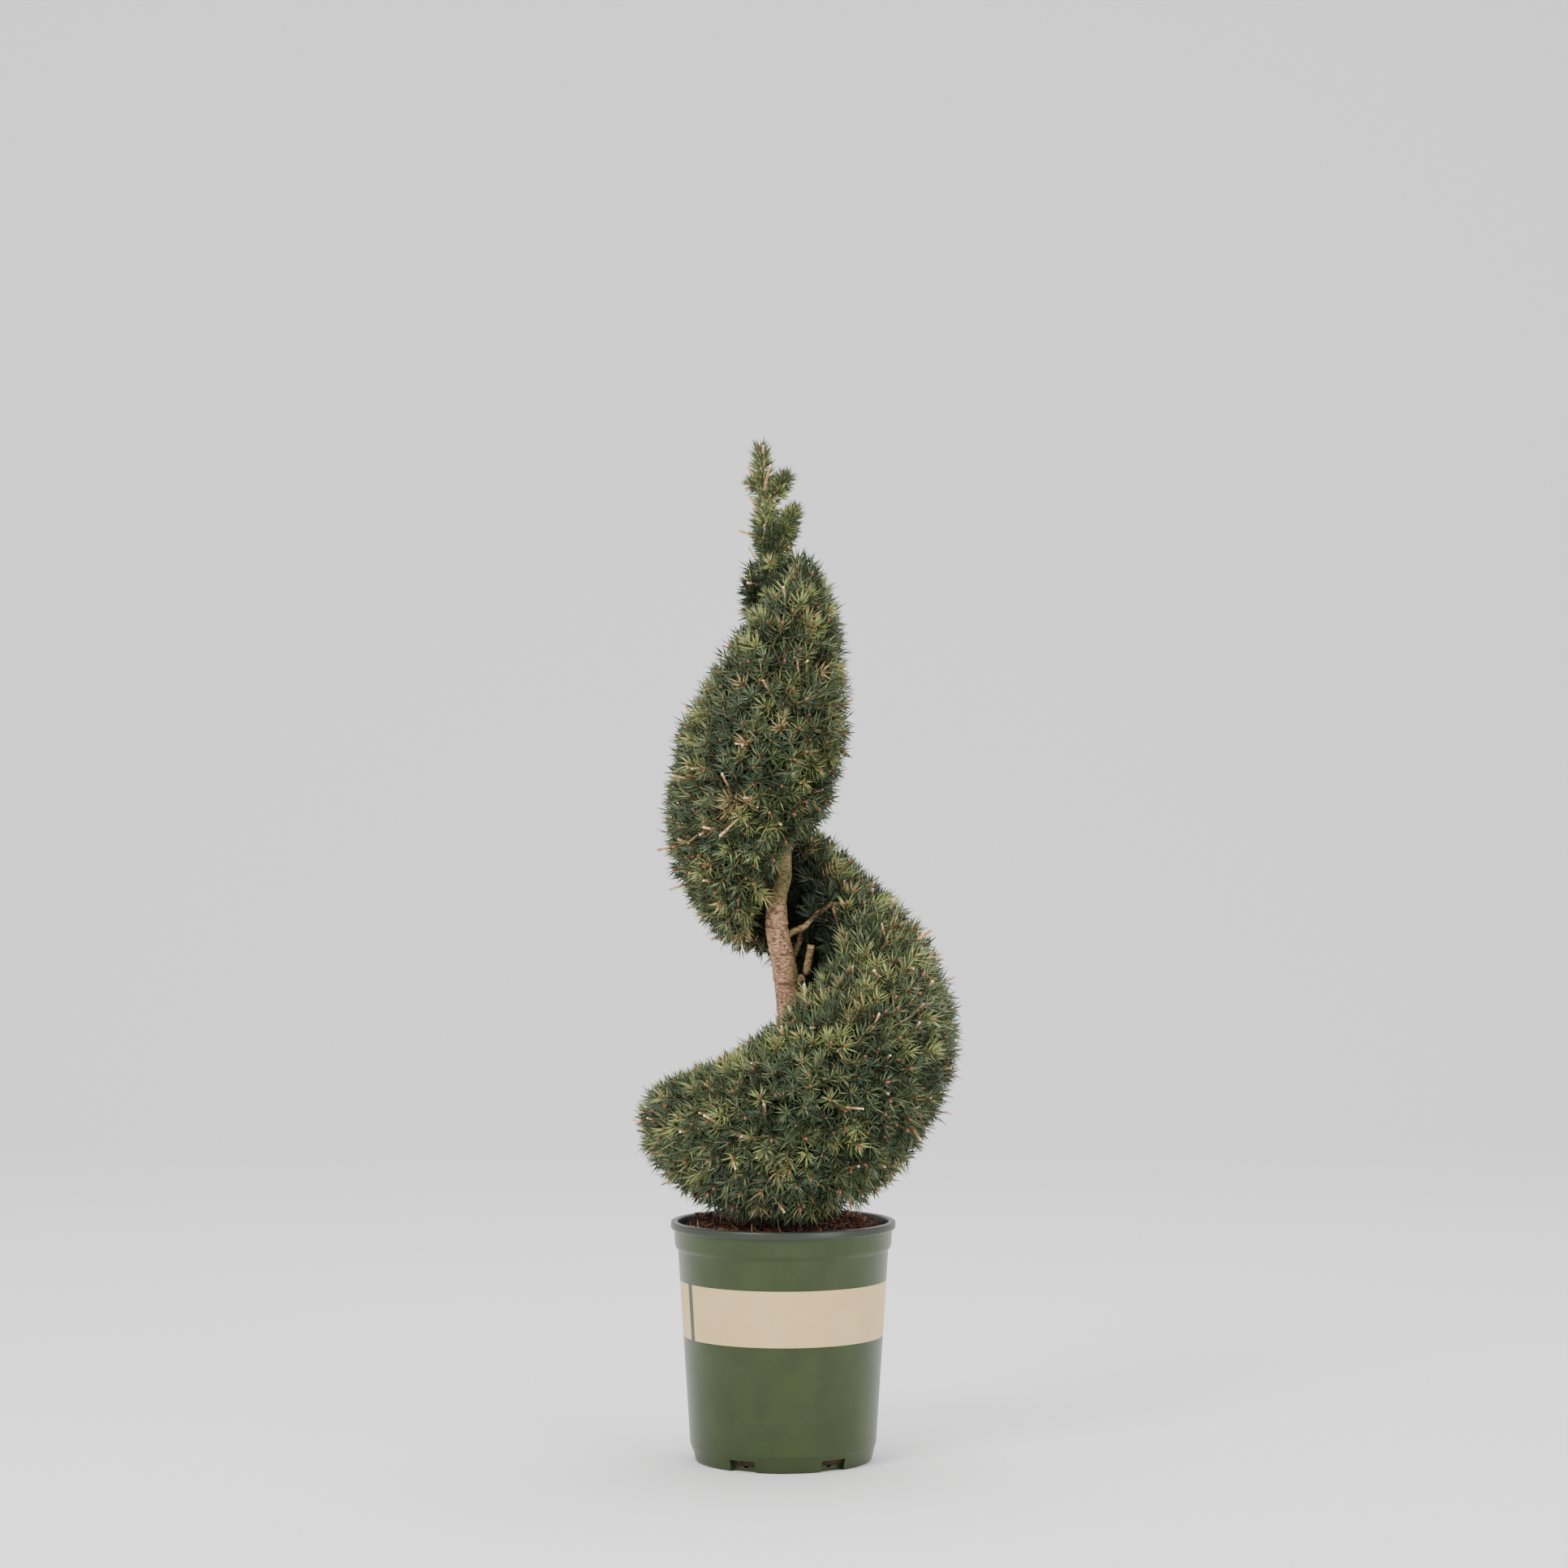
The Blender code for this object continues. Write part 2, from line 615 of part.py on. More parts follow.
def shoot_roots(start, end, rng):
    """Turn, lean and spot of the shoots on a length of ribbon, evenly scattered."""
    placed = []
    for _ in range(SHOOT_TRIES):
        turn = rng.uniform(start, end)
        lean = rng.uniform(-EDGE_LEAN, EDGE_LEAN)
        spot = skin(turn, lean, fur(turn))
        spacing = SHOOT_SPACING * fur(turn) / FUR
        if all((spot - other[2]).length > spacing for other in placed):
            placed.append((turn, lean, spot))
    return placed


def keep_main_body(item):
    """Fill the hollows that fusing sealed and drop loose scraps, leaving one body."""
    mesh = bmesh.new()
    mesh.from_mesh(item.data)
    left = set(mesh.faces)
    bodies = []
    while left:
        body = set()
        edge = [left.pop()]
        while edge:
            face = edge.pop()
            body.add(face)
            near = {other for side in face.edges if side.is_manifold for other in side.link_faces} & left
            left -= near
            edge.extend(near)
        bodies.append(body)
    main = max(bodies, key=lambda body: sum(face.calc_area() for face in body))
    bmesh.ops.delete(mesh, geom=[f for f in mesh.faces if f not in main], context="FACES")
    mesh.to_mesh(item.data)
    mesh.free()


def wobbled(heading, rng):
    shift = Vector([rng.gauss(0, SHOOT_WOBBLE) for _ in range(3)])
    return (heading + shift).normalized()


def fuse(foliage, pieces):
    """Join a mass and all its pieces to one body."""
    apply_boolean(foliage, pieces, "UNION", "MANIFOLD")
    keep_main_body(foliage)


def build_length(name, start, end, limb, rng, collection, green):
    """A length of ribbon: its stem, its dense heart and the shoots that stand out of it."""
    foliage = object_from(core_mesh(start, end), name, collection, green)
    pieces = new_collection(name + "_pieces")
    _, line, thick = limb
    heading = (line[2] - line[1]).normalized()
    foot = line[2] + heading * GAP
    stem = [(foot, thick * BOUGH_TAPER), (foot + heading * STEM_LENGTH, thick * BOUGH_TAPER * STEM_TAPER)]
    object_from(tube_mesh(stem, BOUGH_SIDES), "stem", pieces, green)
    allowed = between_turns(start, end)
    for turn, lean, spot in shoot_roots(start, end, rng):
        size = fur(turn) / FUR
        fan = (spot - foot).normalized()
        outward = skin_normal(turn, lean, fur(turn)) * FROM_SKIN + fan * FROM_STEM
        heading = wobbled(outward + Vector((0, 0, UPWARD)), rng)
        length = (SHOOT_ROOT + FUR * SHOOT_REACH) * size * rng.uniform(*SHOOT_LENGTHS)
        root = spot - heading * SHOOT_ROOT * size
        shoot = shoot_mesh(root, heading, length, rng.uniform(0, math.tau), size, allowed)
        if shoot:
            object_from(shoot, "shoot", pieces, green)
    fuse(foliage, pieces)


def build_clump(name, stations, across, heights, rng, collection, green):
    """A clump by the leader: a stem that swells to its heart, and shoots up its length."""
    spine = [Vector(station[:3]) for station in stations]
    line = [(point, station[3]) for point, station in zip(spine, stations)]
    foliage = object_from(tube_mesh(line, CLUMP_SIDES), name, collection, green)
    pieces = new_collection(name + "_pieces")
    allowed = between_sides(across, heights)
    for i in range(CLUMP_SHOOTS):
        share = (i + 0.5) / CLUMP_SHOOTS * (len(spine) - 2) + 1
        low = min(int(share), len(spine) - 2)
        root = spine[low].lerp(spine[low + 1], share - low)
        climb = (spine[low + 1] - spine[low]).normalized()
        side = climb.orthogonal()
        side.rotate(Quaternion(climb, GOLDEN_ANGLE * i))
        heading = wobbled(climb * CLUMP_SPREAD + side * (1.25 - i / CLUMP_SHOOTS), rng)
        length = (SHOOT_ROOT + FUR * SHOOT_REACH) * CLUMP_SHOOT_SIZE * rng.uniform(*SHOOT_LENGTHS)
        shoot = shoot_mesh(root, heading, length, rng.uniform(0, math.tau), CLUMP_SHOOT_SIZE, allowed)
        if shoot:
            object_from(shoot, "shoot", pieces, green)
    fuse(foliage, pieces)


LIMBS = limbs()


def build():
    clear_scene()
    parts = new_collection(OBJECT)
    build_pot(parts)
    build_mix(parts)
    build_trunk(parts)
    bark = bpy.data.materials["bark"]
    for name, line, thick in LIMBS:
        build_limb(name, line, thick, parts, bark)
    green = material("needles", (0.055, 0.11, 0.05), 0.8)
    start = TAIL_TURN
    for seed, (name, end, _, _) in enumerate(LENGTHS):
        build_length(name + "_foliage", start, end, LIMBS[seed], random.Random(seed), parts, green)
        start = end
    for seed, (name, stations, across, heights) in enumerate(CLUMPS):
        build_clump(name + "_foliage", stations, across, heights, random.Random(seed), parts, green)


build()
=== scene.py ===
"""Looks of a dwarf spruce clipped to a spiral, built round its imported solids.

Metres, +Z up, the pot's underside at the origin and the front along -Y. A turn is an
angle in degrees round the plant's heart line, counted on as the ribbon climbs.
"""

import math
import random

import bmesh
import bpy
import numpy as np
from mathutils import Matrix, Vector, noise


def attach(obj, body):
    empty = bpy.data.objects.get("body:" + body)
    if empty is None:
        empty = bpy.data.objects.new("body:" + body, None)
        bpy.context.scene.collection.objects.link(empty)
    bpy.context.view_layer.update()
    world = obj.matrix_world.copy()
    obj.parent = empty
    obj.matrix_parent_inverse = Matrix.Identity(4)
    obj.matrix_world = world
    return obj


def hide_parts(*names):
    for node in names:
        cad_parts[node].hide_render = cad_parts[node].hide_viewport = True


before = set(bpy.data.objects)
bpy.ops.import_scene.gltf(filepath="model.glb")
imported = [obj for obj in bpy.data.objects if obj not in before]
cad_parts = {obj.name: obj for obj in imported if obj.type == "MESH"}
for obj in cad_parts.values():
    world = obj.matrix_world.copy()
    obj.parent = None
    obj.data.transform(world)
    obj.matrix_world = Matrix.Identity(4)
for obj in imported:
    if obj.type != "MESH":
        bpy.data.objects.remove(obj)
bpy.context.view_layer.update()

# Trunk of a young spruce: pinkish tan bark that flakes in small scales, ringed by
# creases and old branch scars, mossy on its shaded side and higher up. It grows in
# one piece from a flared foot in the mix to the leader.
TRUNK = [  # centre x and y, height, radius
    (0.0185, 0.004, 0.1800, 0.0150), (0.0185, 0.004, 0.1870, 0.0135),
    (0.0170, 0.004, 0.2000, 0.0116), (0.0130, 0.003, 0.2450, 0.0106),
    (0.0080, 0.001, 0.3000, 0.0102), (0.0055, 0.000, 0.3350, 0.0106),
    (0.0012, 0.000, 0.3600, 0.0091), (-0.0045, 0.000, 0.3870, 0.0086),
    (-0.0055, 0.000, 0.4090, 0.0076), (0.0000, 0.001, 0.4260, 0.0061),
    (0.0012, 0.002, 0.4520, 0.0048), (-0.0030, 0.002, 0.5100, 0.0044),
    (-0.0068, 0.001, 0.5800, 0.0036), (-0.0090, 0.000, 0.6500, 0.0024),
    (-0.0105, 0.000, 0.6850, 0.0018), (-0.0135, 0.000, 0.7050, 0.0015),
    (-0.0165, 0.000, 0.7400, 0.0008)]
CREASES = ((0.3485, 0.0007), (0.3700, 0.0008), (0.3905, 0.0006),  # height, depth
           (0.3250, 0.0005), (0.4075, 0.0005), (0.3030, 0.0005),
           (0.2790, 0.0005), (0.2560, 0.0004), (0.2330, 0.0004))
TRUNK_RINGS, TRUNK_SIDES = 420, 56
FLARE_BASE, FLARE_TALL, FLARE_OUT = 0.186, 0.014, 0.0022


class Sock:
    """A node's output, so that shader maths can be written as plain expressions."""

    def __init__(self, tree, out):
        self.tree = tree
        self.out = out

    def node(self, kind, settings, inputs, output=0):
        """Add a node: first its settings, then the values or links of its sockets."""
        made = self.tree.nodes.new(kind)
        for key, value in settings.items():
            setattr(made, key, value)
        for key, value in inputs.items():
            if isinstance(value, Sock):
                self.tree.links.new(value.out, made.inputs[key])
            else:
                made.inputs[key].default_value = value
        return Sock(self.tree, made.outputs[output])

    def maths(self, operation, *values):
        return self.node("ShaderNodeMath", {"operation": operation}, dict(enumerate(values)))

    def __add__(self, other):
        return self.maths("ADD", self, other)

    def __sub__(self, other):
        return self.maths("SUBTRACT", self, other)

    def __rsub__(self, other):
        return self.maths("SUBTRACT", other, self)

    def __mul__(self, other):
        return self.maths("MULTIPLY", self, other)

    def __gt__(self, other):
        return self.maths("GREATER_THAN", self, other)

    def __lt__(self, other):
        return self.maths("LESS_THAN", self, other)

    def __abs__(self):
        return self.maths("ABSOLUTE", self)

    __radd__, __rmul__ = __add__, __mul__

    def axis(self, which):
        """One coordinate: 0 across, 1 in depth, 2 in height."""
        return self.node("ShaderNodeSeparateXYZ", {}, {0: self}, which)

    def grain(self, scale, detail, roughness=0.5):
        return self.node("ShaderNodeTexNoise", {}, {"Vector": self, "Scale": scale,
                                                    "Detail": detail, "Roughness": roughness})

    def ramp(self, low, high):
        """0 at low, 1 at high and a smooth step between."""
        return self.node("ShaderNodeMapRange", {"interpolation_type": "SMOOTHSTEP"},
                         {0: self, 1: low, 2: high, 3: 0.0, 4: 1.0})

    def mix(self, first, second):
        """The first colour where this is 0 and the second where it is 1."""
        return self.node("ShaderNodeMix", {"data_type": "RGBA"},
                         {0: self, 6: first, 7: second}, 2)

    def bump(self, strength, distance):
        return self.node("ShaderNodeBump", {}, {"Strength": strength, "Distance": distance,
                                                "Height": self})

    def feed(self, shader, key):
        self.tree.links.new(self.out, shader.inputs[key])


def colour(text):
    """Linear colour of a six-digit display colour."""
    parts = [int(text[i:i + 2], 16) / 255.0 for i in (0, 2, 4)]
    return tuple(p / 12.92 if p <= 0.04045 else ((p + 0.055) / 1.055) ** 2.4
                 for p in parts) + (1.0,)


def new_finish(name, base, roughness):
    """A finish of one colour, with its shader and its Object coordinates."""
    finish = bpy.data.materials.new(name)
    finish.use_nodes = True
    shader = finish.node_tree.nodes["Principled BSDF"]
    shader.inputs["Base Color"].default_value = base
    shader.inputs["Roughness"].default_value = roughness
    where = Sock(finish.node_tree, None).node("ShaderNodeTexCoord", {}, {}, "Object")
    return finish, shader, where


def bark(name, young=False):
    """Scaly tan bark: painted shade in the old wood's ring creases, the young mossy all over.
    """
    finish, shader, where = new_finish(name, colour("b79a80"), 0.9)
    height = where.axis(2)
    stretched = where.node("ShaderNodeMapping", {}, {"Vector": where, "Scale": (1.0, 1.0, 2.2)})
    flakes = stretched.grain(330.0, 6.0, 0.65)
    broad = where.grain(70.0, 4.0)
    tan = flakes.ramp(0.38, 0.62).mix(colour("553828"), colour("b48d6c"))
    tan = broad.ramp(0.50, 0.75).mix(tan, colour("9c755a"))
    moss = broad.ramp(0.30, 0.55) * flakes.ramp(0.25, 0.50) * 0.75 + 0.2
    if young:
        amount = moss * 0.8
    else:
        # Painted shade: the old wood is darkened in patches along the first three ring creases.
        for level, _ in CREASES[:3]:
            ring = abs(height - level).ramp(0.0016, 0.0003) * broad.ramp(0.35, 0.6)
            tan = ring.mix(tan, colour("543a2b"))
        amount = moss * (height.ramp(0.390, 0.420) + where.axis(0).ramp(0.000, 0.010))
    mossy = flakes.ramp(0.4, 0.6).mix(colour("3a3820"), colour("6e6638"))
    amount.maths("MINIMUM", amount, 1.0).mix(tan, mossy).feed(shader, "Base Color")
    flakes.bump(0.5, 0.0006).feed(shader, "Normal")
    return finish


def trunk_at(height):
    """Centre and radius of the trunk at a height."""
    low, high = next((a, b) for a, b in zip(TRUNK, TRUNK[1:])
                     if height <= b[2] or b is TRUNK[-1])
    u = min(max((height - low[2]) / (high[2] - low[2]), 0.0), 1.0)
    station = [a + (b - a) * u for a, b in zip(low, high)]
    return np.array(station[:3]), station[3]


def spun(profile, steps):
    """A closed bmesh: (radius, height) points spun round the pot's upright axis."""
    made = bmesh.new()
    chain = [made.verts.new((radius, 0.0, height)) for radius, height in profile]
    edges = [made.edges.new(pair) for pair in zip(chain, chain[1:])]
    bmesh.ops.spin(made, geom=chain + edges, cent=(0, 0, 0), axis=(0, 0, 1),
                   angle=math.tau, steps=steps, use_merge=True)
    bmesh.ops.remove_doubles(made, verts=made.verts[:], dist=1e-6)
    bmesh.ops.recalc_face_normals(made, faces=made.faces[:])
    return made


def set_down(name, made, finish=None):
    """A bmesh as a smooth object of the scene."""
    data = bpy.data.meshes.new(name)
    made.to_mesh(data)
    made.free()
    data.shade_smooth()
    if finish:
        data.materials.append(finish)
    item = bpy.data.objects.new(name, data)
    bpy.context.scene.collection.objects.link(item)
    return item


foot_height, top_height = TRUNK[0][2], TRUNK[-1][2]
profile = [(trunk_at(height)[1], height)
           for height in np.linspace(foot_height, top_height, TRUNK_RINGS)]
trunk_mesh = spun([(0.0, foot_height), *profile, (0.0, top_height)], TRUNK_SIDES)
for vert in trunk_mesh.verts:
    height = vert.co.z
    centre, radius = trunk_at(height)
    way = Vector((vert.co.x, vert.co.y, 0.0))
    if way.length < 1e-5:
        vert.co = centre
        continue
    way.normalize()
    crease = 0.0
    for level, depth in CREASES:
        crease -= depth * math.exp(-((height - level) / 0.0009) ** 2)
        crease += 0.5 * depth * math.exp(-((height - level - 0.0022) / 0.0014) ** 2)
    coarse = noise.noise(Vector((way.x * 1.1, way.y * 1.1, height * 55.0)))
    fine = noise.noise(Vector((way.x * 4.2, way.y * 4.2, height * 420.0)))
    scale = noise.cell(Vector((way.x * 3.0, way.y * 3.0, height * 260.0)))
    out = radius * (1 + 0.075 * coarse) + crease * radius / 0.01
    out += (0.00035 * fine + 0.0002 * scale) * min(radius / 0.009, 1.0)
    flare = max(1 - (height - FLARE_BASE) / FLARE_TALL, 0.0) ** 2
    out += FLARE_OUT * flare * (1 + math.cos(math.atan2(way.y, way.x) * 5 + 0.8)) * 0.5
    vert.co = Vector(centre) + way * out
trunk = set_down("trunk_bark", trunk_mesh, bark("trunk_bark"))
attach(trunk, "root")
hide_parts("trunk")

# Boughs: one tapering limb to each length of the ribbon, growing out of the trunk and
# on through the foliage as branchlets, with the upright stub of one that was cut.
# Their bark is thin and mossy. The ribbon's widest line and reach say where they end.
WIDEST = [(140, 0.238), (180, 0.243), (270, 0.268), (330, 0.300), (360, 0.312),  # turn, height
          (405, 0.362), (450, 0.418), (540, 0.460), (630, 0.520), (720, 0.567),
          (810, 0.612), (900, 0.648)]
REACH = [(140, 0.102), (180, 0.115), (270, 0.119), (330, 0.1205), (360, 0.1205),
         (405, 0.111), (450, 0.098), (540, 0.084), (630, 0.070), (720, 0.054),
         (810, 0.039), (900, 0.018)]
TAIL_TURN, TOP_TURN = 146.0, 885.0
LENGTHS = [  # name, turn at its end, heights of its bough's foot and tip
    ("tail", 208, 0.214, 0.243), ("front_left_skirt", 258, 0.232, 0.262),
    ("front_right_skirt", 306, 0.252, 0.288), ("right_skirt", 352, 0.290, 0.326),
    ("right_flank", 398, 0.380, 0.408), ("back_rise", 450, 0.352, 0.396),
    ("back_left", 508, 0.398, 0.436), ("left_shoulder", 562, 0.409, 0.432),
    ("front_left_shoulder", 616, 0.446, 0.484), ("front_right_shoulder", 672, 0.480, 0.518),
    ("right_crest", 735, 0.524, 0.556), ("back_crest", 810, 0.572, 0.596),
    ("left_crest", TOP_TURN, 0.614, 0.630)]
BOUGH_POINTS, BOUGH_SIDES = 13, 12
BOUGH_SHARE, BOUGH_TAPER = 0.32, 0.42  # thickness of its trunk's, and of its foot's
STUB_FOOT, STUB_TOP = 0.0034, 0.0026


def at_turn(keys, turn):
    """Value at a turn on the smooth curve through the keys."""
    if turn <= keys[0][0]:
        return keys[0][1]
    if turn >= keys[-1][0]:
        return keys[-1][1]
    first = next(i for i in range(len(keys) - 1) if turn <= keys[i + 1][0])
    slopes = []
    for i in (first, first + 1):
        before, after = keys[max(i - 1, 0)], keys[min(i + 1, len(keys) - 1)]
        slopes.append((after[1] - before[1]) / (after[0] - before[0]))
    start, end = keys[first], keys[first + 1]
    span = end[0] - start[0]
    u = (turn - start[0]) / span
    return ((1 + 2 * u) * (1 - u) ** 2 * start[1] + u * (1 - u) ** 2 * span * slopes[0]
            + u * u * (3 - 2 * u) * end[1] - u * u * (1 - u) * span * slopes[1])


def round_heart(turn, reach, height):
    """Point at a turn and reach from the heart line, which leans left as it climbs."""
    angle = math.radians(turn)
    heart = 0.012 - 0.0483 * (height - 0.186)
    return np.array((heart + reach * math.cos(angle), reach * math.sin(angle), height))


def inner_reach(turn, inset):
    """Reach of the ribbon's inner face, clear of the trunk."""
    bare = trunk_at(at_turn(WIDEST, turn))[1] + 0.007
    return max(0.30 * at_turn(REACH, turn), bare) + 0.3 * inset


def unit(vectors):
    return vectors / np.maximum(np.linalg.norm(vectors, axis=-1, keepdims=True), 1e-9)


def square_to(axes):
    """Two unit vectors square to each axis."""
    helper = np.where(np.abs(axes[..., 2:3]) < 0.9, [[0.0, 0.0, 1.0]], [[1.0, 0.0, 0.0]])
    first = unit(np.cross(axes, helper))
    return first, np.cross(axes, first)


def stem_tubes(paths, radii, sides):
    """Points and triangles of many closed stems; paths is (n, k, 3), radii (n, k)."""
    paths = np.asarray(paths, dtype=float)
    radii = np.asarray(radii, dtype=float)
    count, rings, _ = paths.shape
    ahead = np.concatenate([paths[:, 1:], paths[:, -1:]], axis=1)
    behind = np.concatenate([paths[:, :1], paths[:, :-1]], axis=1)
    first, second = square_to(unit(ahead - behind))
    angles = (np.arange(sides) * math.tau / sides)[:, None]
    ring = first[:, :, None] * np.cos(angles) + second[:, :, None] * np.sin(angles)
    verts = paths[:, :, None] + ring * radii[:, :, None, None]
    verts = verts.reshape(count, rings * sides, 3)
    verts = np.concatenate([verts, paths[:, :1], paths[:, -1:]], axis=1)
    last, low_tip, high_tip = (rings - 1) * sides, rings * sides, rings * sides + 1
    faces = []
    for i in range(sides):
        j = (i + 1) % sides
        faces += [(j, i, low_tip), (last + i, last + j, high_tip)]
        for ring_start in range(0, last, sides):
            a, b = ring_start + i, ring_start + j
            faces += [(a, b, b + sides), (a, b + sides, a + sides)]
    starts = (np.arange(count) * (high_tip + 1))[:, None, None]
    return verts.reshape(-1, 3), (np.asarray(faces)[None] + starts).reshape(-1, 3)


def joined_piece(name, verts, faces, finish, smooth=True):
    """One object from the points and triangles of many like pieces."""
    verts = np.asarray(verts, dtype=np.float32)
    faces = np.asarray(faces, dtype=np.int32)
    data = bpy.data.meshes.new(name)
    data.vertices.add(len(verts))
    data.vertices.foreach_set("co", verts.ravel())
    data.loops.add(faces.size)
    data.loops.foreach_set("vertex_index", faces.ravel())
    data.polygons.add(len(faces))
    data.polygons.foreach_set("loop_start", np.arange(0, faces.size, 3, dtype=np.int32))
    data.polygons.foreach_set("use_smooth", np.full(len(faces), smooth))
    data.update(calc_edges=True)
    data.materials.append(finish)
    item = bpy.data.objects.new(name, data)
    bpy.context.scene.collection.objects.link(item)
    return item


bough_paths, bough_radii = [], []
rng = random.Random(5)
start = TAIL_TURN
for name, end, foot_height, tip_height in LENGTHS:
    middle = 0.5 * (start + end)
    fur = min(0.016, 0.30 * at_turn(REACH, middle))
    foot, trunk_radius = trunk_at(foot_height)
    tip = round_heart(middle, inner_reach(middle, fur) - 0.005, tip_height)
    sag = 0.06 * np.linalg.norm(tip - foot)
    elbow = 0.5 * (foot + tip) - np.array((0, 0, sag))
    within = round_heart(middle, 0.45 * (at_turn(REACH, middle) + inner_reach(middle, 0.0)),
                         0.92 * tip_height + 0.08 * at_turn(WIDEST, middle))
    keys = [foot, elbow, tip, within]
    path = []
    for u in np.linspace(0, 3, BOUGH_POINTS):
        low = min(int(u), 2)
        path.append(keys[low] + (keys[low + 1] - keys[low]) * (u - low))
    path = np.array(path)
    wander = np.array([[noise.noise(Vector((k * 9.1, j * 0.45, middle))) for k in range(3)]
                       for j in range(BOUGH_POINTS)])
    path[1:] += wander[1:] * 0.0022
    knots = 1 + 0.12 * np.array([rng.uniform(-1, 1) for _ in range(BOUGH_POINTS)])
    bough_paths.append(path)
    taper = np.linspace(1.0, BOUGH_TAPER, BOUGH_POINTS)
    bough_radii.append(BOUGH_SHARE * trunk_radius * taper * knots)
    start = end
stub_rise = [(0.005 + 0.012 * u, -0.002 - 0.001 * u, 0.343 + 0.013 * u)
             for u in np.linspace(0, 1, 7)]
stub_top = [(0.017 + 0.0035 * u, -0.003, 0.356 + 0.021 * u) for u in np.linspace(0.15, 1, 6)]
stub_radii = np.linspace(STUB_FOOT, STUB_TOP, BOUGH_POINTS)
verts, faces = stem_tubes(bough_paths + [np.array(stub_rise + stub_top)],
                          bough_radii + [stub_radii], BOUGH_SIDES)
boughs = joined_piece("boughs", verts, faces, bark("bough_bark", young=True))
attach(boughs, "root")
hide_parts("cut_stub", *[name + "_bough" for name, _, _, _ in LENGTHS])

# Twigs and needle shoots: every length of the ribbon is filled by branchlets that fork
# from its bough, carry slim twigs to the clipped skin and bear short shoots there, each
# ringed by stiff needles round a small bud. Dark inner layers, painted shade, close the view
# through.
LOW = [(140, 0.200), (180, 0.181), (270, 0.178), (330, 0.190), (360, 0.206), (405, 0.287),
       (450, 0.356), (540, 0.377), (630, 0.443), (720, 0.472), (810, 0.560), (900, 0.630)]
HIGH = [(140, 0.268), (180, 0.286), (225, 0.300), (270, 0.331), (330, 0.378), (360, 0.403),
        (405, 0.443), (450, 0.488), (540, 0.558), (630, 0.632), (720, 0.665), (810, 0.669),
        (900, 0.655)]
NOSE, NOSE_SHARE = 24.0, 0.35  # turns over which an end rounds off, and its least width
SKIN, BEHIND, INSIDE = 0, 1, 2
LAYERS = ((0.0115, 0.0080, 3600, SKIN), (0.0190, 0.0105, 1500, BEHIND),  # inset, spacing, tries
          (0.0300, 0.0150, 800, INSIDE), (0.0450, 0.0170, 500, INSIDE))
BRANCHLET = np.linspace(0.0019, 0.0009, 6)  # radii at a twig's six points
LINK = np.array((0.0009, 0.0008, 0.0008, 0.0007, 0.0005, 0.0003))
INNER_TWIG, CLUMP_TWIG = np.linspace(0.0010, 0.0004, 6), np.linspace(0.0013, 0.0007, 6)
ROOT_DEPTH, SKIN_REACH, INNER_REACH = 0.008, 0.0165, 0.019
TRUNK_ROOM, INNER_ROOM = 0.006, 0.009
TWIG_SIDES, TWIGS_A_PIECE = 3, 4500


def ribbon_skin(turn, lean, inset):
    """Point of the ribbon's skin, set in by inset; lean 90 is its top edge, -90 its foot."""
    inner = inner_reach(turn, max(inset, 0.0))
    outer = max(at_turn(REACH, turn) - inset, inner + 0.002)
    middle = at_turn(WIDEST, turn)
    edge = at_turn(HIGH, turn) - inset if lean > 0 else at_turn(LOW, turn) + inset
    power = 2.0 / (2.35 if lean > 0 else 1.65)
    angle = math.radians(lean)
    reach = inner + (outer - inner) * abs(math.cos(angle)) ** power
    height = middle + (edge - middle) * abs(math.sin(angle)) ** power
    from_end = min(turn - TAIL_TURN, TOP_TURN - turn) / NOSE
    swell = math.sqrt(max(1.0 - max(1.0 - from_end, 0.0) ** 2, 0.0))
    swell = NOSE_SHARE + (1.0 - NOSE_SHARE) * swell
    centre = 0.5 * (inner + outer)
    return round_heart(turn, centre + (reach - centre) * swell,
                       middle + (height - middle) * swell)


def skin_way(turn, lean):
    """Unit vector straight out of the ribbon's skin."""
    step, inset = 1.5, 0.010
    across = ribbon_skin(turn, lean + step, inset) - ribbon_skin(turn, lean - step, inset)
    forward = ribbon_skin(turn + step, lean, inset) - ribbon_skin(turn - step, lean, inset)
    return unit(np.cross(forward, across))


def even_places(start, end, inset, spacing, tries, rng):
    """Evenly scattered (turn, lean, point) on a length of the ribbon's skin."""
    spots = np.zeros((0, 3))
    found = []
    for _ in range(tries):
        turn = rng.uniform(start, end)
        lean = rng.uniform(-88.0, 88.0)
        spot = ribbon_skin(turn, lean, min(inset, 0.375 * at_turn(REACH, turn)))
        if len(spots) and np.min(np.sum((spots - spot) ** 2, axis=1)) < spacing * spacing:
            continue
        spots = np.vstack([spots, spot])
        found.append((turn, lean, spot))
    return found


def bent_twig(root, tip, count, sag, rng):
    """Points from root to tip along a gentle bend."""
    side = np.array([rng.gauss(0, 1) for _ in range(3)])
    side *= sag * np.linalg.norm(tip - root) / max(np.linalg.norm(side), 1e-6)
    return np.array([root + (tip - root) * u + side * 4 * u * (1 - u)
                     for u in np.linspace(0, 1, count)])


def loose_way(spread, rise, rng):
    """A random unit vector that tends to point up."""
    return unit(np.array([rng.gauss(0, spread) for _ in range(3)]) + np.array((0, 0, rise)))


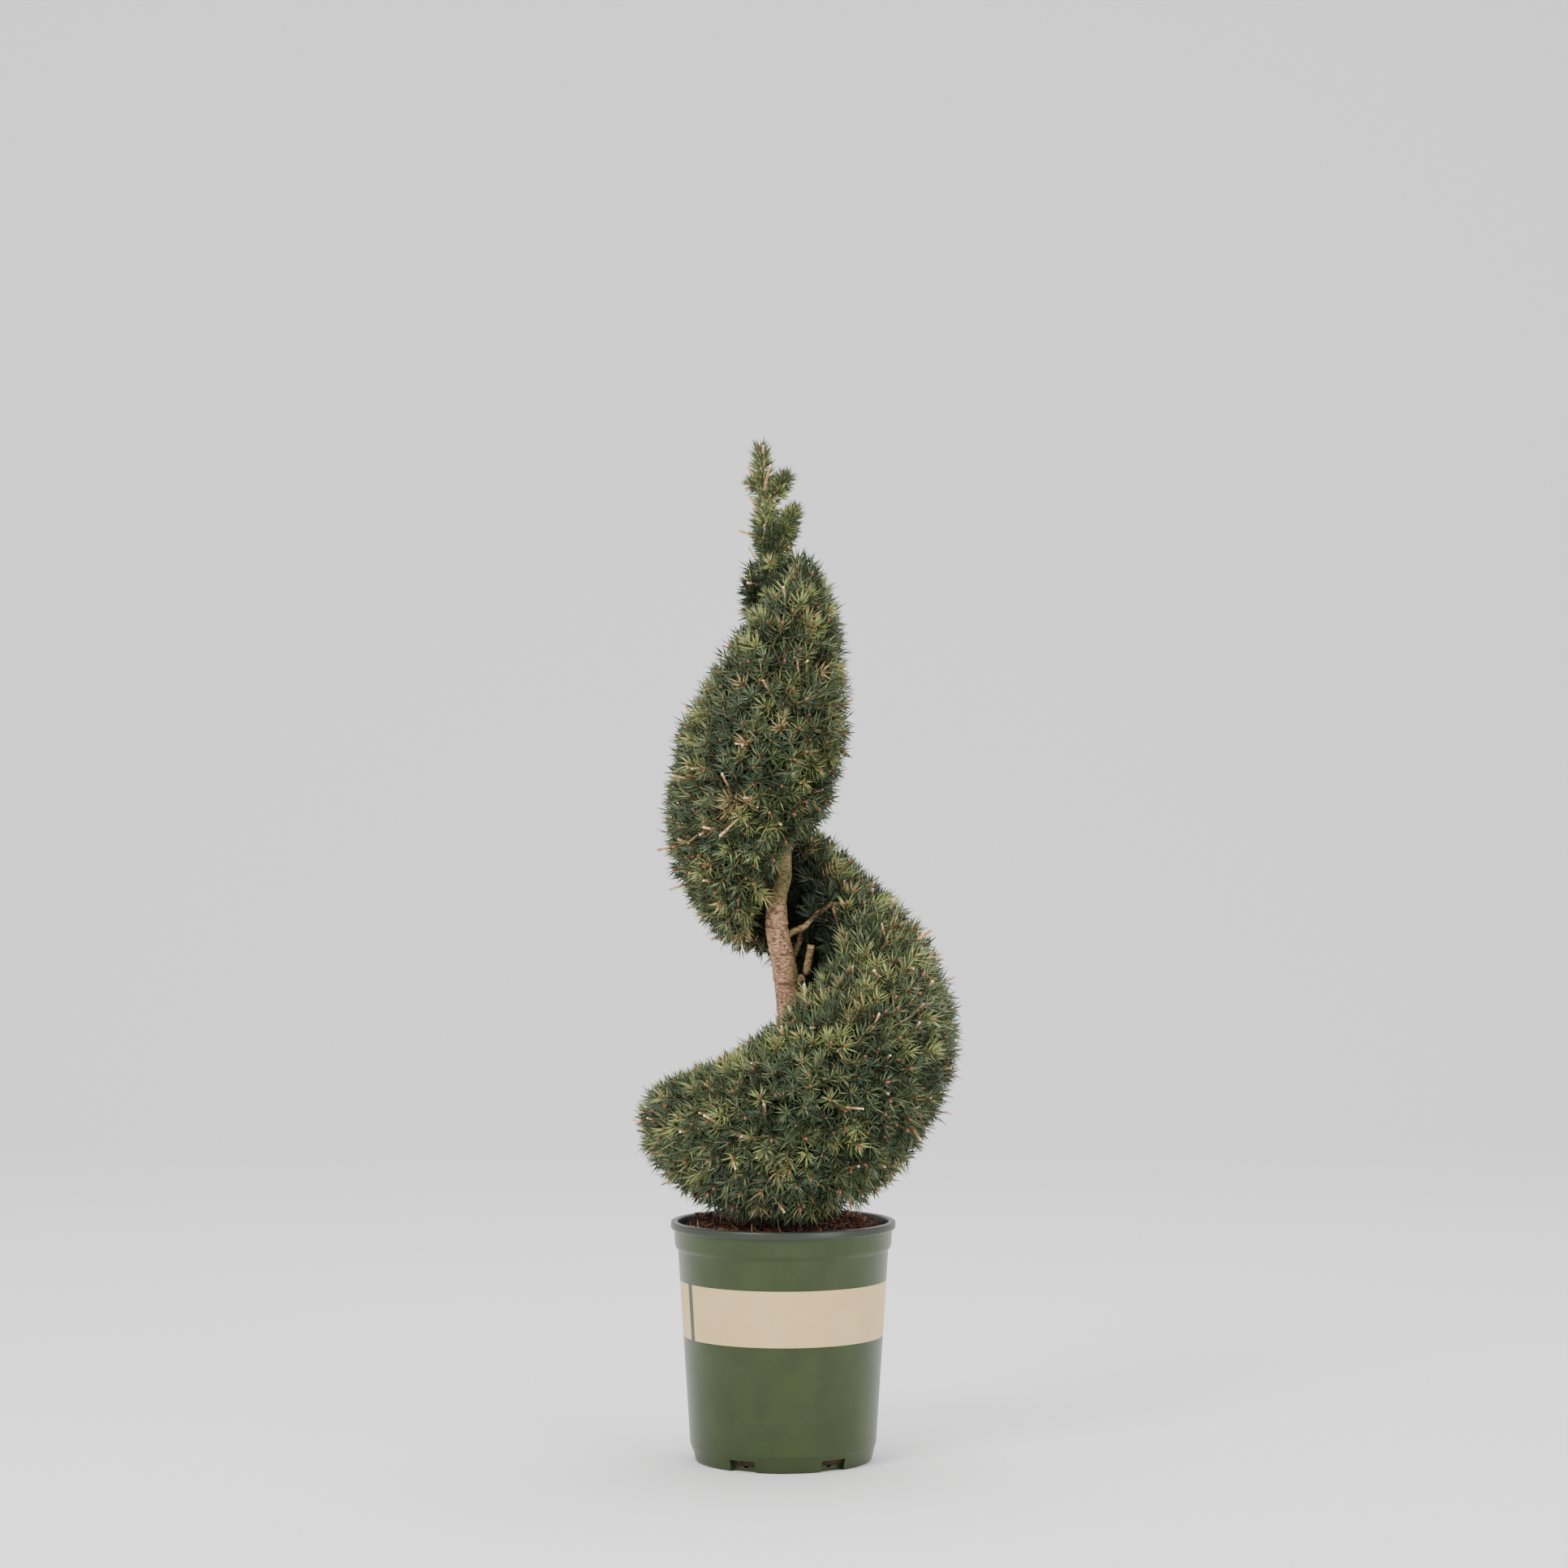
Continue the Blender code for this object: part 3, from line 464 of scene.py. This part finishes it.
shoots = []  # root, way, reach, layer, lean, turn
twig_paths, twig_radii = [], []
rng = random.Random(11)
start = TAIL_TURN
for stem, (_, end, _, _) in zip(bough_paths, LENGTHS):
    share = (end - start) / 50.0
    nodes = []
    for turn, lean, spot in even_places(start, end, 0.026, 0.026, 260, rng):
        root = stem[rng.randint(8, 12)]
        path = bent_twig(root, spot, 6, 0.10, rng)
        twig_paths.append(path)
        twig_radii.append(BRANCHLET)
        nodes += list(path[2:])
    nodes = np.array(nodes)
    for inset, spacing, tries, layer in LAYERS:
        tries = int(tries * share) + 60
        for turn, lean, spot in even_places(start, end, inset, spacing, tries, rng):
            centre, radius = trunk_at(spot[2])
            if np.linalg.norm((spot - centre)[:2]) < radius + TRUNK_ROOM:
                continue
            nearest = nodes[np.argmin(np.sum((nodes - spot) ** 2, axis=1))]
            outward = skin_way(turn, lean) * 0.75 + unit(spot - stem[3]) * 0.35
            outward += np.array((0, 0, 0.12))
            way = unit(outward + np.array([rng.gauss(0, 0.24) for _ in range(3)]))
            root = spot - way * ROOT_DEPTH
            reach = (SKIN_REACH if layer == SKIN else INNER_REACH) * rng.uniform(0.8, 1.15)
            reach *= min(1.0, 0.35 + at_turn(REACH, turn) / 0.1)
            shoots.append((root, way, reach, layer, lean, turn))
            link = bent_twig(nearest, root, 3, 0.12, rng)
            twig_paths.append(np.vstack([link, *[root + way * reach * u
                                                 for u in (0.5, 0.97, 1.0)]]))
            twig_radii.append(LINK)
    # Shoots along the bough, and on the ribbon's inner face towards the trunk.
    for j in (5, 6, 7, 7, 8, 8, 9, 9):
        way = loose_way(0.8, 0.5, rng)
        shoots.append((stem[j], way, rng.uniform(0.008, 0.014), BEHIND, 0.0, end - 1.0))
    for _ in range(int(170 * share)):
        turn = rng.uniform(start, end)
        low, high = at_turn(LOW, turn), at_turn(HIGH, turn)
        height = low + (high - low) * rng.uniform(0.12, 0.88)
        spot = round_heart(turn, inner_reach(turn, 0.0) + rng.uniform(0.002, 0.010), height)
        centre, radius = trunk_at(height)
        if np.linalg.norm((spot - centre)[:2]) > radius + INNER_ROOM and 166 < turn < 790:
            way = loose_way(0.6, 0.5, rng)
            shoots.append((spot, way, 0.013, INSIDE, 0.0, turn))
            twig_paths.append(bent_twig(spot - way * 0.006, spot + way * 0.013, 6, 0.06, rng))
            twig_radii.append(INNER_TWIG)
    start = end

# Shoots round the leader: a few side shoots that carry clumps of their own, short ones
# up its stem and long ones that crowd to its tip. All grow from the trunk's top.
CLUMPS = [((-0.0100, 0.0, 0.6640), (0.0060, -0.002, 0.6920), 17),  # root, tip, shoots
          ((-0.0105, 0.0, 0.6640), (-0.0160, 0.004, 0.6860), 10),
          ((-0.0125, 0.0, 0.6960), (0.0000, -0.002, 0.7170), 12),
          ((-0.0140, 0.0, 0.7080), (-0.0200, 0.001, 0.7150), 4),
          ((-0.0095, 0.0, 0.6560), (0.0050, 0.006, 0.6820), 12),
          ((-0.0095, 0.0, 0.6560), (-0.0150, -0.004, 0.6740), 8)]
LEADER_SHOOTS = [((-0.0100, 0.000, 0.6560), (-0.0122, 0.000, 0.6900)),  # root, tip
                 ((-0.0110, 0.000, 0.6720), (-0.0132, 0.000, 0.7060)),
                 ((-0.0134, 0.000, 0.7040), (-0.0166, 0.000, 0.7400)),
                 ((-0.0138, 0.001, 0.7080), (-0.0170, 0.001, 0.7405)),
                 ((-0.0145, 0.000, 0.7160), (-0.0160, -0.001, 0.7400)),
                 ((-0.0150, 0.000, 0.7240), (-0.0172, 0.000, 0.7412)),
                 ((-0.0134, 0.000, 0.7050), (-0.0190, -0.004, 0.7200)),
                 ((-0.0134, 0.000, 0.7050), (-0.0100, 0.005, 0.7180)),
                 ((-0.0140, 0.001, 0.7100), (-0.0186, 0.002, 0.7360)),
                 ((-0.0140, -0.001, 0.7100), (-0.0145, -0.003, 0.7370)),
                 ((-0.0142, 0.000, 0.7120), (-0.0158, 0.003, 0.7400)),
                 ((-0.0142, 0.000, 0.7160), (-0.0160, 0.000, 0.7410)),
                 ((-0.0105, 0.000, 0.6600), (-0.0128, -0.001, 0.6980)),
                 ((-0.0115, 0.000, 0.6800), (-0.0135, 0.001, 0.7060)),
                 ((-0.0105, 0.000, 0.6660), (-0.0120, 0.001, 0.6840))]
NECK_SHOOTS, NECK_FOOT, NECK_STEP = 34, 0.610, 0.0028
LEADER_TURN = 882.0
GOLDEN = math.radians(137.5)  # the turn from one shoot or needle to the next
for low, high, count in CLUMPS:
    low, high = np.array(low), np.array(high)
    twig_paths.append(bent_twig(low, high, 6, 0.05, rng))
    twig_radii.append(CLUMP_TWIG)
    climb = unit(high - low)
    one, two = square_to(climb[None])
    for i in range(count):
        share = 0.35 + 0.65 * (i + 0.5) / count
        side = one[0] * math.cos(GOLDEN * i) + two[0] * math.sin(GOLDEN * i)
        way = unit(climb * 0.9 + side * (1.15 - share) * 1.4)
        shoots.append((low + (high - low) * share, way, 0.0065 * rng.uniform(0.8, 1.2), SKIN,
                       60.0, LEADER_TURN))
    shoots.append((high - climb * 0.008, climb, 0.0095, SKIN, 80.0, LEADER_TURN))
for i in range(NECK_SHOOTS):
    centre, radius = trunk_at(NECK_FOOT + NECK_STEP * i)
    way = unit(np.array((math.cos(GOLDEN * i), math.sin(GOLDEN * i), rng.uniform(0.5, 1.6))))
    shoots.append((centre + way * radius, way, rng.uniform(0.0045, 0.0110), SKIN, 40.0,
                   LEADER_TURN))
for low, high in LEADER_SHOOTS:
    climb = np.array(high) - np.array(low)
    shoots.append((np.array(low), unit(climb), float(np.linalg.norm(climb)), SKIN, 0.0, 800.0))

finish, shader, where = new_finish("twig_bark", colour("7a5c40"), 0.85)
patches = where.grain(160.0, 3.0).ramp(0.4, 0.6)
patches.mix(colour("5c4230"), colour("a07e58")).feed(shader, "Base Color")
for part, first in enumerate(range(0, len(twig_paths), TWIGS_A_PIECE)):
    some = slice(first, first + TWIGS_A_PIECE)
    verts, faces = stem_tubes(twig_paths[some], twig_radii[some], TWIG_SIDES)
    twigs = joined_piece("twigs_%d" % (part + 1), verts, faces, finish)
    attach(twigs, "root")

# Needles: stiff, about 12 mm long and waxy, set all round each shoot and leaning
# forward to its tip. Inner ones are dark as painted shade, fresh tips are lime and a few are
# browned by the sun; a shoot has one tone, with some needles of the tone beside it.
NEEDLE_TONES = {"dark": ("20281b", 0.6), "deep": ("3a452c", 0.5), "mid": ("525c3b", 0.5),
                "blue": ("50604b", 0.42), "light": ("7b8257", 0.5), "lime": ("9fa966", 0.5),
                "browned": ("ab9566", 0.6)}  # colour, roughness
TONE_BESIDE = {"dark": "deep", "deep": "blue", "mid": "light", "blue": "light",
               "light": "mid", "lime": "light", "browned": "mid"}
NEEDLES_A_SHOOT, OWN_SHARE, BESIDE_SHARE = 34, 0.70, 0.30
NEEDLE_LONG, NEEDLE_VARIES, NEEDLE_THICK = 0.0134, 0.0014, 0.00056
NEEDLES_A_PIECE = 33000
# A needle's points are its base, three round its middle and its tip.
NEEDLE_SIDES = np.array([(0, 2, 1), (0, 3, 2), (0, 1, 3), (4, 1, 2), (4, 2, 3), (4, 3, 1)])

sprays = {tone: [] for tone in NEEDLE_TONES}
rng = random.Random(23)
for shoot in shoots:
    root, way, reach, layer, lean, turn = shoot
    patch = noise.noise(Vector(root * 22.0))
    pick = rng.random()
    # Painted shade: shoots of the inner layers take the dark tone, as do most behind the skin.
    if layer == INSIDE:
        tone = "dark"
    elif layer == BEHIND:
        tone = "dark" if pick < 0.6 else "deep"
    else:
        lime = 0.05 + 0.12 * (lean > 35) + 0.06 * (turn > 780)
        lime += 0.10 * (150 < turn < 250 and lean > 10)
        brown = 0.015 + 0.10 * (335 < turn < 420 and lean > 15)
        if pick < lime:
            tone = "lime"
        elif pick < lime + brown:
            tone = "browned"
        else:
            lighter = 12 + 20 * patch + 0.1 * max(lean, 0)
            tone = rng.choices(("deep", "mid", "blue", "light"),
                               weights=(34 - 30 * patch, 32 + 20 * patch, 22, lighter))[0]
    sprays[tone].append((root, way, reach, OWN_SHARE))
    sprays[TONE_BESIDE[tone]].append((root, way, reach, BESIDE_SHARE))

for tone, group in sprays.items():
    stream = np.random.default_rng(len(group))
    size = (len(group), NEEDLES_A_SHOOT)
    roots, ways, reaches, kept_share = [np.array(column) for column in zip(*group)]
    one, two = square_to(ways)
    steps = np.arange(NEEDLES_A_SHOOT)
    share = 0.10 + 0.90 * ((steps + 0.5) / NEEDLES_A_SHOOT)[None]
    share = share + stream.uniform(-0.01, 0.01, size)
    roll = steps[None] * GOLDEN + stream.uniform(0, math.tau, (len(group), 1))
    roll = roll + stream.normal(0, 0.25, size)
    spread = np.radians(78.0 - 42.0 * share ** 2.2) + stream.normal(0, 0.12, size)
    radial = one[:, None] * np.cos(roll)[..., None] + two[:, None] * np.sin(roll)[..., None]
    heading = ways[:, None] * np.cos(spread)[..., None] + radial * np.sin(spread)[..., None]
    heading[..., 2] += 0.10
    heading = unit(heading)
    length = stream.normal(NEEDLE_LONG, NEEDLE_VARIES, size) * (1.0 - 0.20 * share)
    length *= np.clip(reaches / 0.012, 0.75, 1.0)[:, None]
    base = roots[:, None] + ways[:, None] * (reaches[:, None] * share)[..., None]
    middle = base + heading * (length * 0.45)[..., None]
    tip = middle + unit(heading + ways[:, None] * 0.30) * (length * 0.55)[..., None]
    side, other = square_to(heading.reshape(-1, 3))
    base, middle, tip = base.reshape(-1, 3), middle.reshape(-1, 3), tip.reshape(-1, 3)
    ring = [middle + NEEDLE_THICK * (side * math.cos(angle) + other * math.sin(angle))
            for angle in (0.0, math.tau / 3, math.tau * 2 / 3)]
    points = np.stack([base, *ring, tip], axis=1)
    points = points[(stream.random(size) < kept_share[:, None]).ravel()]
    base_colour, roughness = NEEDLE_TONES[tone]
    finish, shader, _ = new_finish(tone + "_needles", colour(base_colour), roughness)
    shader.inputs["Specular IOR Level"].default_value = 0.35
    for part, first in enumerate(range(0, len(points), NEEDLES_A_PIECE)):
        some = points[first:first + NEEDLES_A_PIECE]
        starts = (np.arange(len(some)) * 5)[:, None, None]
        piece = joined_piece("%s_needles_%d" % (tone, part + 1), some.reshape(-1, 3),
                             (NEEDLE_SIDES[None] + starts).reshape(-1, 3), finish, smooth=False)
        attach(piece, "root")
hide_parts(*[name + "_foliage" for name, _, _, _ in LENGTHS],
            "neck_right_foliage", "neck_left_foliage", "side_tuft_foliage", "leader_foliage")

# Buds: small, pointed and red-brown, wrapped in papery scales. One sits at the tip of
# about every other shoot of the skin, ringed by that shoot's needles.
BUDDED = 0.50
rng = random.Random(31)
paths, radii = [], []
for root, way, reach, layer, _, _ in shoots:
    if layer == SKIN and rng.random() < BUDDED:
        tip = root + way * reach
        size = rng.uniform(0.8, 1.3)
        paths.append([tip - way * 0.001, tip + way * 0.0006 * size, tip + way * 0.0018 * size,
                      tip + way * 0.0030 * size])
        radii.append([0.0005 * size, 0.00115 * size, 0.0009 * size, 0.0002])
verts, faces = stem_tubes(paths, radii, 5)
finish, _, _ = new_finish("buds", colour("8d5a40"), 0.6)
buds = joined_piece("buds", verts, faces, finish)
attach(buds, "root")

# Cut twigs: where the shears passed, bare tan twig ends stand out between the needles.
# Each grows from a shoot's root and shows a pale face of fresh wood.
CUT_TWIGS = 260
CUT_LONG, CUT_THICK = (0.017, 0.020, 0.024, 0.029), (0.0007, 0.0011)
rng = random.Random(47)
paths, radii, ends, end_radii = [], [], [], []
near_skin = [shoot for shoot in shoots if shoot[3] == SKIN and shoot[5] < 880]
for root, heading, _, _, _, _ in rng.sample(near_skin, CUT_TWIGS):
    way = heading * 0.8 + np.array([rng.gauss(0, 0.5) for _ in range(3)])
    way = unit(way + np.array((0, 0, 0.25)))
    length = rng.choice(CUT_LONG)
    thick = rng.uniform(*CUT_THICK)
    path = bent_twig(root - way * 0.008, root + way * length, 5, 0.03, rng)
    paths.append(path)
    radii.append(np.linspace(thick * 1.25, thick, 5))
    ends.append([path[-1] - way * 0.0006, path[-1] + way * 0.0004])
    end_radii.append([thick * 1.06, thick])
verts, faces = stem_tubes(paths, radii, 6)
finish, shader, where = new_finish("cut_twigs", colour("b98f62"), 0.75)
patches = where.grain(240.0, 3.0).ramp(0.38, 0.62)
patches.mix(colour("a4794e"), colour("d5ae80")).feed(shader, "Base Color")
piece = joined_piece("cut_twigs", verts, faces, finish)
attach(piece, "root")
verts, faces = stem_tubes(ends, end_radii, 6)
finish, _, _ = new_finish("cut_wood", colour("e9d6b0"), 0.7)
piece = joined_piece("cut_twig_ends", verts, faces, finish)
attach(piece, "root")

# Pot: a blow-moulded nursery container with a rolled lip, a collar, a tapered wall and
# six feet between drain notches. Satin olive green plastic, with a cream band printed
# round it that stops short of itself in a narrow green gap.
POT_INSIDE = [(0.0, 0.0025), (0.0616, 0.0025), (0.0636, 0.0045), (0.06645, 0.0120),
              (0.07535, 0.1540), (0.0770, 0.1690)]  # radius, height
POT_LIP = [(0.0772, 0.1695), (0.0772, 0.1736), (0.0776, 0.1746), (0.0784, 0.1750),
           (0.0813, 0.1750), (0.0821, 0.1746), (0.0825, 0.1738), (0.0825, 0.1702),
           (0.0819, 0.1695), (0.0802, 0.1695)]
POT_COLLAR = [(0.0800, 0.1690), (0.0795, 0.1580), (0.0793, 0.1572), (0.0786, 0.1554),
              (0.07750, 0.1543), (0.07715, 0.1535)]
POT_WALL = [(0.06840, 0.0140), (0.06825, 0.0122), (0.06765, 0.0114), (0.0654, 0.0020),
            (0.0651, 0.0010), (0.0644, 0.0003), (0.0634, 0.0000), (0.0, 0.0)]
POT_SIDES = 144
POCKETS = (0.0577, 0.0632, 0.0118, 0.0012, 0.0103)  # inner, outer, half width, bottom, top
OPENINGS = (0.0595, 0.0825, 0.0100, -0.0085, 0.0085)
NOTCHES = [math.radians(303.4 + 60.0 * i) for i in range(6)]
DRAIN_RADIUS, DRAIN_REACH, DRAIN_HEIGHT, DRAIN_LONG = 0.0027, 0.0595, 0.0050, 0.012
BAND_FOOT, BAND_TOP = 0.0914, 0.1320
GAP_TURN, GAP_HALF = math.radians(63.0), 0.040


def notch_blocks(inner, outer, half, bottom, top):
    """A box at each notch, from its inner to its outer reach."""
    boxes = bmesh.new()
    for angle in NOTCHES:
        made = bmesh.ops.create_cube(boxes, size=1.0)["verts"]
        bmesh.ops.scale(boxes, verts=made, vec=(outer - inner, 2 * half, top - bottom))
        bmesh.ops.translate(boxes, verts=made, vec=((outer + inner) / 2, 0, (top + bottom) / 2))
        bmesh.ops.rotate(boxes, verts=made, matrix=Matrix.Rotation(angle, 3, "Z"))
    return boxes


def cut_or_join(item, tool_mesh, operation):
    """Join the tool to the pot, or cut it out of it."""
    tool = set_down("tool", tool_mesh)
    step = item.modifiers.new(operation.lower(), "BOOLEAN")
    step.operation = operation
    step.object = tool
    step.solver = "EXACT"
    depsgraph = bpy.context.evaluated_depsgraph_get()
    result = bpy.data.meshes.new_from_object(item.evaluated_get(depsgraph))
    item.modifiers.clear()
    item.data = result
    bpy.data.objects.remove(tool, do_unlink=True)


pot = set_down("pot_shell", spun(POT_INSIDE + POT_LIP + POT_COLLAR + POT_WALL, POT_SIDES))
cut_or_join(pot, notch_blocks(*POCKETS), "UNION")
cut_or_join(pot, notch_blocks(*OPENINGS), "DIFFERENCE")
drains = bmesh.new()
for angle in NOTCHES:
    made = bmesh.ops.create_cone(drains, cap_ends=True, segments=20, radius1=DRAIN_RADIUS,
                                 radius2=DRAIN_RADIUS, depth=DRAIN_LONG)["verts"]
    bmesh.ops.rotate(drains, verts=made, matrix=Matrix.Rotation(math.radians(90), 3, "Y"))
    bmesh.ops.translate(drains, verts=made, vec=(DRAIN_REACH, 0, DRAIN_HEIGHT))
    bmesh.ops.rotate(drains, verts=made, matrix=Matrix.Rotation(angle, 3, "Z"))
cut_or_join(pot, drains, "DIFFERENCE")
pot.data.shade_smooth()
pot.data.set_sharp_from_angle(angle=math.radians(32))

finish, shader, where = new_finish("pot_plastic", colour("2f3b1c"), 0.40)
shader.inputs["Specular IOR Level"].default_value = 0.32
across, deep, height = [where.axis(i) for i in range(3)]
radius = where.maths("SQRT", across * across + deep * deep)
turn = where.maths("ARCTAN2", across, 0.0 - deep)
speckle = where.grain(45.0, 3.0)
green = speckle.ramp(0.3, 0.7).mix(colour("2d391a"), colour("333f1e"))
lip = (height > 0.1694).mix(green, colour("32362d"))
wall = (height - 0.012) * 0.0627 + 0.0672
# Painted shade: the pot's inner wall above 10 cm is a darker grey-green than its outside.
inside = ((radius < wall) * (height > 0.10)).mix(lip, colour("2a2e24"))
gap = abs(turn + GAP_TURN) < GAP_HALF
band = (height > BAND_FOOT) * (height < BAND_TOP) * (radius > 0.0715) * (1.0 - gap)
cream = speckle.ramp(0.35, 0.65).mix(colour("ccb07c"), colour("d1b683"))
band.mix(inside, cream).feed(shader, "Base Color")
(band * 0.14 + 0.34).feed(shader, "Roughness")
pot.data.materials.clear()
pot.data.materials.append(finish)
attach(pot, "root")
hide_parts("pot")

# Potting mix: loose composted bark, dark red-brown, heaped a little round the trunk and
# held by the pot. A lumpy ground below, with chips, crumbs and fibres loose on top.
MIX_LEVEL, MIX_REACH, MIX_TOP = 0.1685, 0.0748, 0.1867
MIX_UNDER = [(0.0662, 0.0200), (0.0655, 0.0122), (0.0610, 0.0040), (0.0, 0.0040)]
MIX_RINGS, MIX_SIDES = 70, 150
FOOT_X, FOOT_Y = TRUNK[1][:2]
LOOSE = (  # name, colour, count, least and most length, thickness
    ("dark_crumbs", "2a1a14", 1500, (0.0020, 0.0055), 0.0011),
    ("red_chips", "5a2f20", 900, (0.0025, 0.0075), 0.0010),
    ("tan_chips", "8a6446", 260, (0.0025, 0.0080), 0.0007),
    ("red_fibres", "6b3d28", 620, (0.0060, 0.0160), 0.00032),
    ("tan_fibres", "a58460", 170, (0.0060, 0.0180), 0.00028))
LOOSE_REACH, LOOSE_END_REACH = 0.0728, 0.0738


def mix_height(x, y):
    """Height of the mix: a mound round the trunk's foot and a small heap at the left."""
    mound = 0.0175 * math.exp(-(math.hypot(x - FOOT_X, y - FOOT_Y) / 0.034) ** 2)
    heap = 0.006 * math.exp(-(math.hypot(x + 0.058, y - 0.030) / 0.013) ** 2)
    lumps = 0.0022 * noise.noise(Vector((x, y, 0.0)) * 60.0)
    return min(MIX_LEVEL + mound + lumps + heap, MIX_TOP)


top = [(MIX_REACH * j / MIX_RINGS, MIX_LEVEL) for j in range(MIX_RINGS + 1)]
mix_mesh = spun(top + MIX_UNDER, MIX_SIDES)
for vert in mix_mesh.verts:
    if vert.co.z < 0.1:
        continue
    share = math.hypot(vert.co.x, vert.co.y) / MIX_REACH
    x, y = vert.co.x + FOOT_X * (1 - share), vert.co.y + FOOT_Y * (1 - share)
    rough = (0.0011 * noise.noise(Vector((x, y, 3.0)) * 260.0)
             + 0.0007 * noise.noise(Vector((x, y, 7.0)) * 700.0))
    vert.co = (x, y, mix_height(x, y) + rough * (1 - share ** 8))
finish, shader, where = new_finish("mix_ground", colour("2e1c15"), 0.95)
grain = where.grain(420.0, 5.0, 0.7)
grain.ramp(0.35, 0.68).mix(colour("1c110d"), colour("4f3022")).feed(shader, "Base Color")
grain.bump(0.8, 0.001).feed(shader, "Normal")
ground = set_down("potting_mix_ground", mix_mesh, finish)
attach(ground, "root")
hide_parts("potting_mix")

rng = random.Random(61)
for name, tone, count, long, thick in LOOSE:
    paths, radii = [], []
    for _ in range(count):
        radius = LOOSE_REACH * math.sqrt(rng.random())
        angle = rng.uniform(0, math.tau)
        x, y = radius * math.cos(angle), radius * math.sin(angle)
        if math.hypot(x - FOOT_X, y - FOOT_Y) < 0.0125:
            continue
        way = unit(np.array((rng.gauss(0, 1), rng.gauss(0, 1), rng.gauss(0.05, 0.33))))
        half = way * rng.uniform(*long) / 2
        if max(math.hypot(x + half[0], y + half[1]),
               math.hypot(x - half[0], y - half[1])) > LOOSE_END_REACH:
            continue
        centre = np.array((x, y, mix_height(x, y) + 0.0006 + 0.6 * abs(half[2])))
        paths.append(bent_twig(centre - half, centre + half, 4, 0.10, rng))
        width = thick * rng.uniform(0.6, 1.4)
        radii.append([width * 0.45, width, width * 0.9, width * 0.4])
    verts, faces = stem_tubes(paths, radii, 5)
    finish, shader, where = new_finish(name, colour(tone), 0.9)
    shaded = tuple(part * 0.55 for part in colour(tone)[:3]) + (1.0,)
    patches = where.grain(500.0, 2.0).ramp(0.35, 0.65)
    patches.mix(shaded, colour(tone)).feed(shader, "Base Color")
    piece = joined_piece(name, verts, faces, finish, smooth=False)
    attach(piece, "root")

# Studio: a pale paper floor that curves up behind the plant, one large key light from
# the upper left, a fill from the right, a soft light from above and an even white room.
FLOOR_FRONT, CURVE_START, CURVE_RADIUS, FLOOR_TOP = -3.6, 2.4, 1.8, 5.0
FLOOR_HALF, FLOOR_DROP, FLOOR_STEPS = 5.0, 0.0002, 60


def studio_lamp(name, where, target, size, power):
    """A round area light that faces its target."""
    light = bpy.data.lights.new(name, "AREA")
    light.shape = "DISK"
    light.size = size
    light.energy = power
    item = bpy.data.objects.new(name, light)
    item.location = where
    item.rotation_euler = (Vector(target) - Vector(where)).to_track_quat("-Z", "Y").to_euler()
    bpy.context.scene.collection.objects.link(item)


paper = bmesh.new()
line = []
for u in np.linspace(0, 1, FLOOR_STEPS):
    if u < 0.5:
        y, z = FLOOR_FRONT + 2 * (CURVE_START - FLOOR_FRONT) * u, 0.0
    else:
        angle = (u - 0.5) * math.pi
        y, z = (CURVE_START + CURVE_RADIUS * math.sin(angle),
                CURVE_RADIUS - CURVE_RADIUS * math.cos(angle))
    line.append(paper.verts.new((-FLOOR_HALF, y, z - FLOOR_DROP)))
line.append(paper.verts.new((-FLOOR_HALF, CURVE_START + CURVE_RADIUS, FLOOR_TOP)))
edges = [paper.edges.new(pair) for pair in zip(line, line[1:])]
pulled = bmesh.ops.extrude_edge_only(paper, edges=edges)["geom"]
bmesh.ops.translate(paper, vec=(2 * FLOOR_HALF, 0, 0),
                    verts=[part for part in pulled if isinstance(part, bmesh.types.BMVert)])
finish, _, _ = new_finish("studio_paper", (0.86, 0.86, 0.86, 1.0), 0.9)
floor = set_down("studio_floor", paper, finish)

studio_lamp("key", (-1.6, -2.2, 2.3), (0, 0, 0.35), 1.3, 78.0)
studio_lamp("fill", (2.0, -2.0, 1.1), (0, 0, 0.35), 1.6, 34.0)
studio_lamp("top", (0.2, 0.5, 2.8), (0, 0, 0.3), 1.6, 48.0)
world = bpy.data.worlds.new("studio")
world.use_nodes = True
background = world.node_tree.nodes["Background"]
background.inputs["Color"].default_value = (1.0, 1.0, 1.0, 1.0)
background.inputs["Strength"].default_value = 1.15
bpy.context.scene.world = world

# Camera: level, at two thirds of the plant's height, with a long lens from the front.
CAMERA_PLACE, CAMERA_LENS, CAMERA_SENSOR = (0.0006, -2.85, 0.495), 89.14, 36.0
camera = bpy.data.objects.new("camera", bpy.data.cameras.new("camera"))
camera.location = CAMERA_PLACE
camera.rotation_euler = (math.radians(90), 0, 0)
camera.data.sensor_width = CAMERA_SENSOR
camera.data.lens = CAMERA_LENS
bpy.context.scene.collection.objects.link(camera)
bpy.context.scene.camera = camera
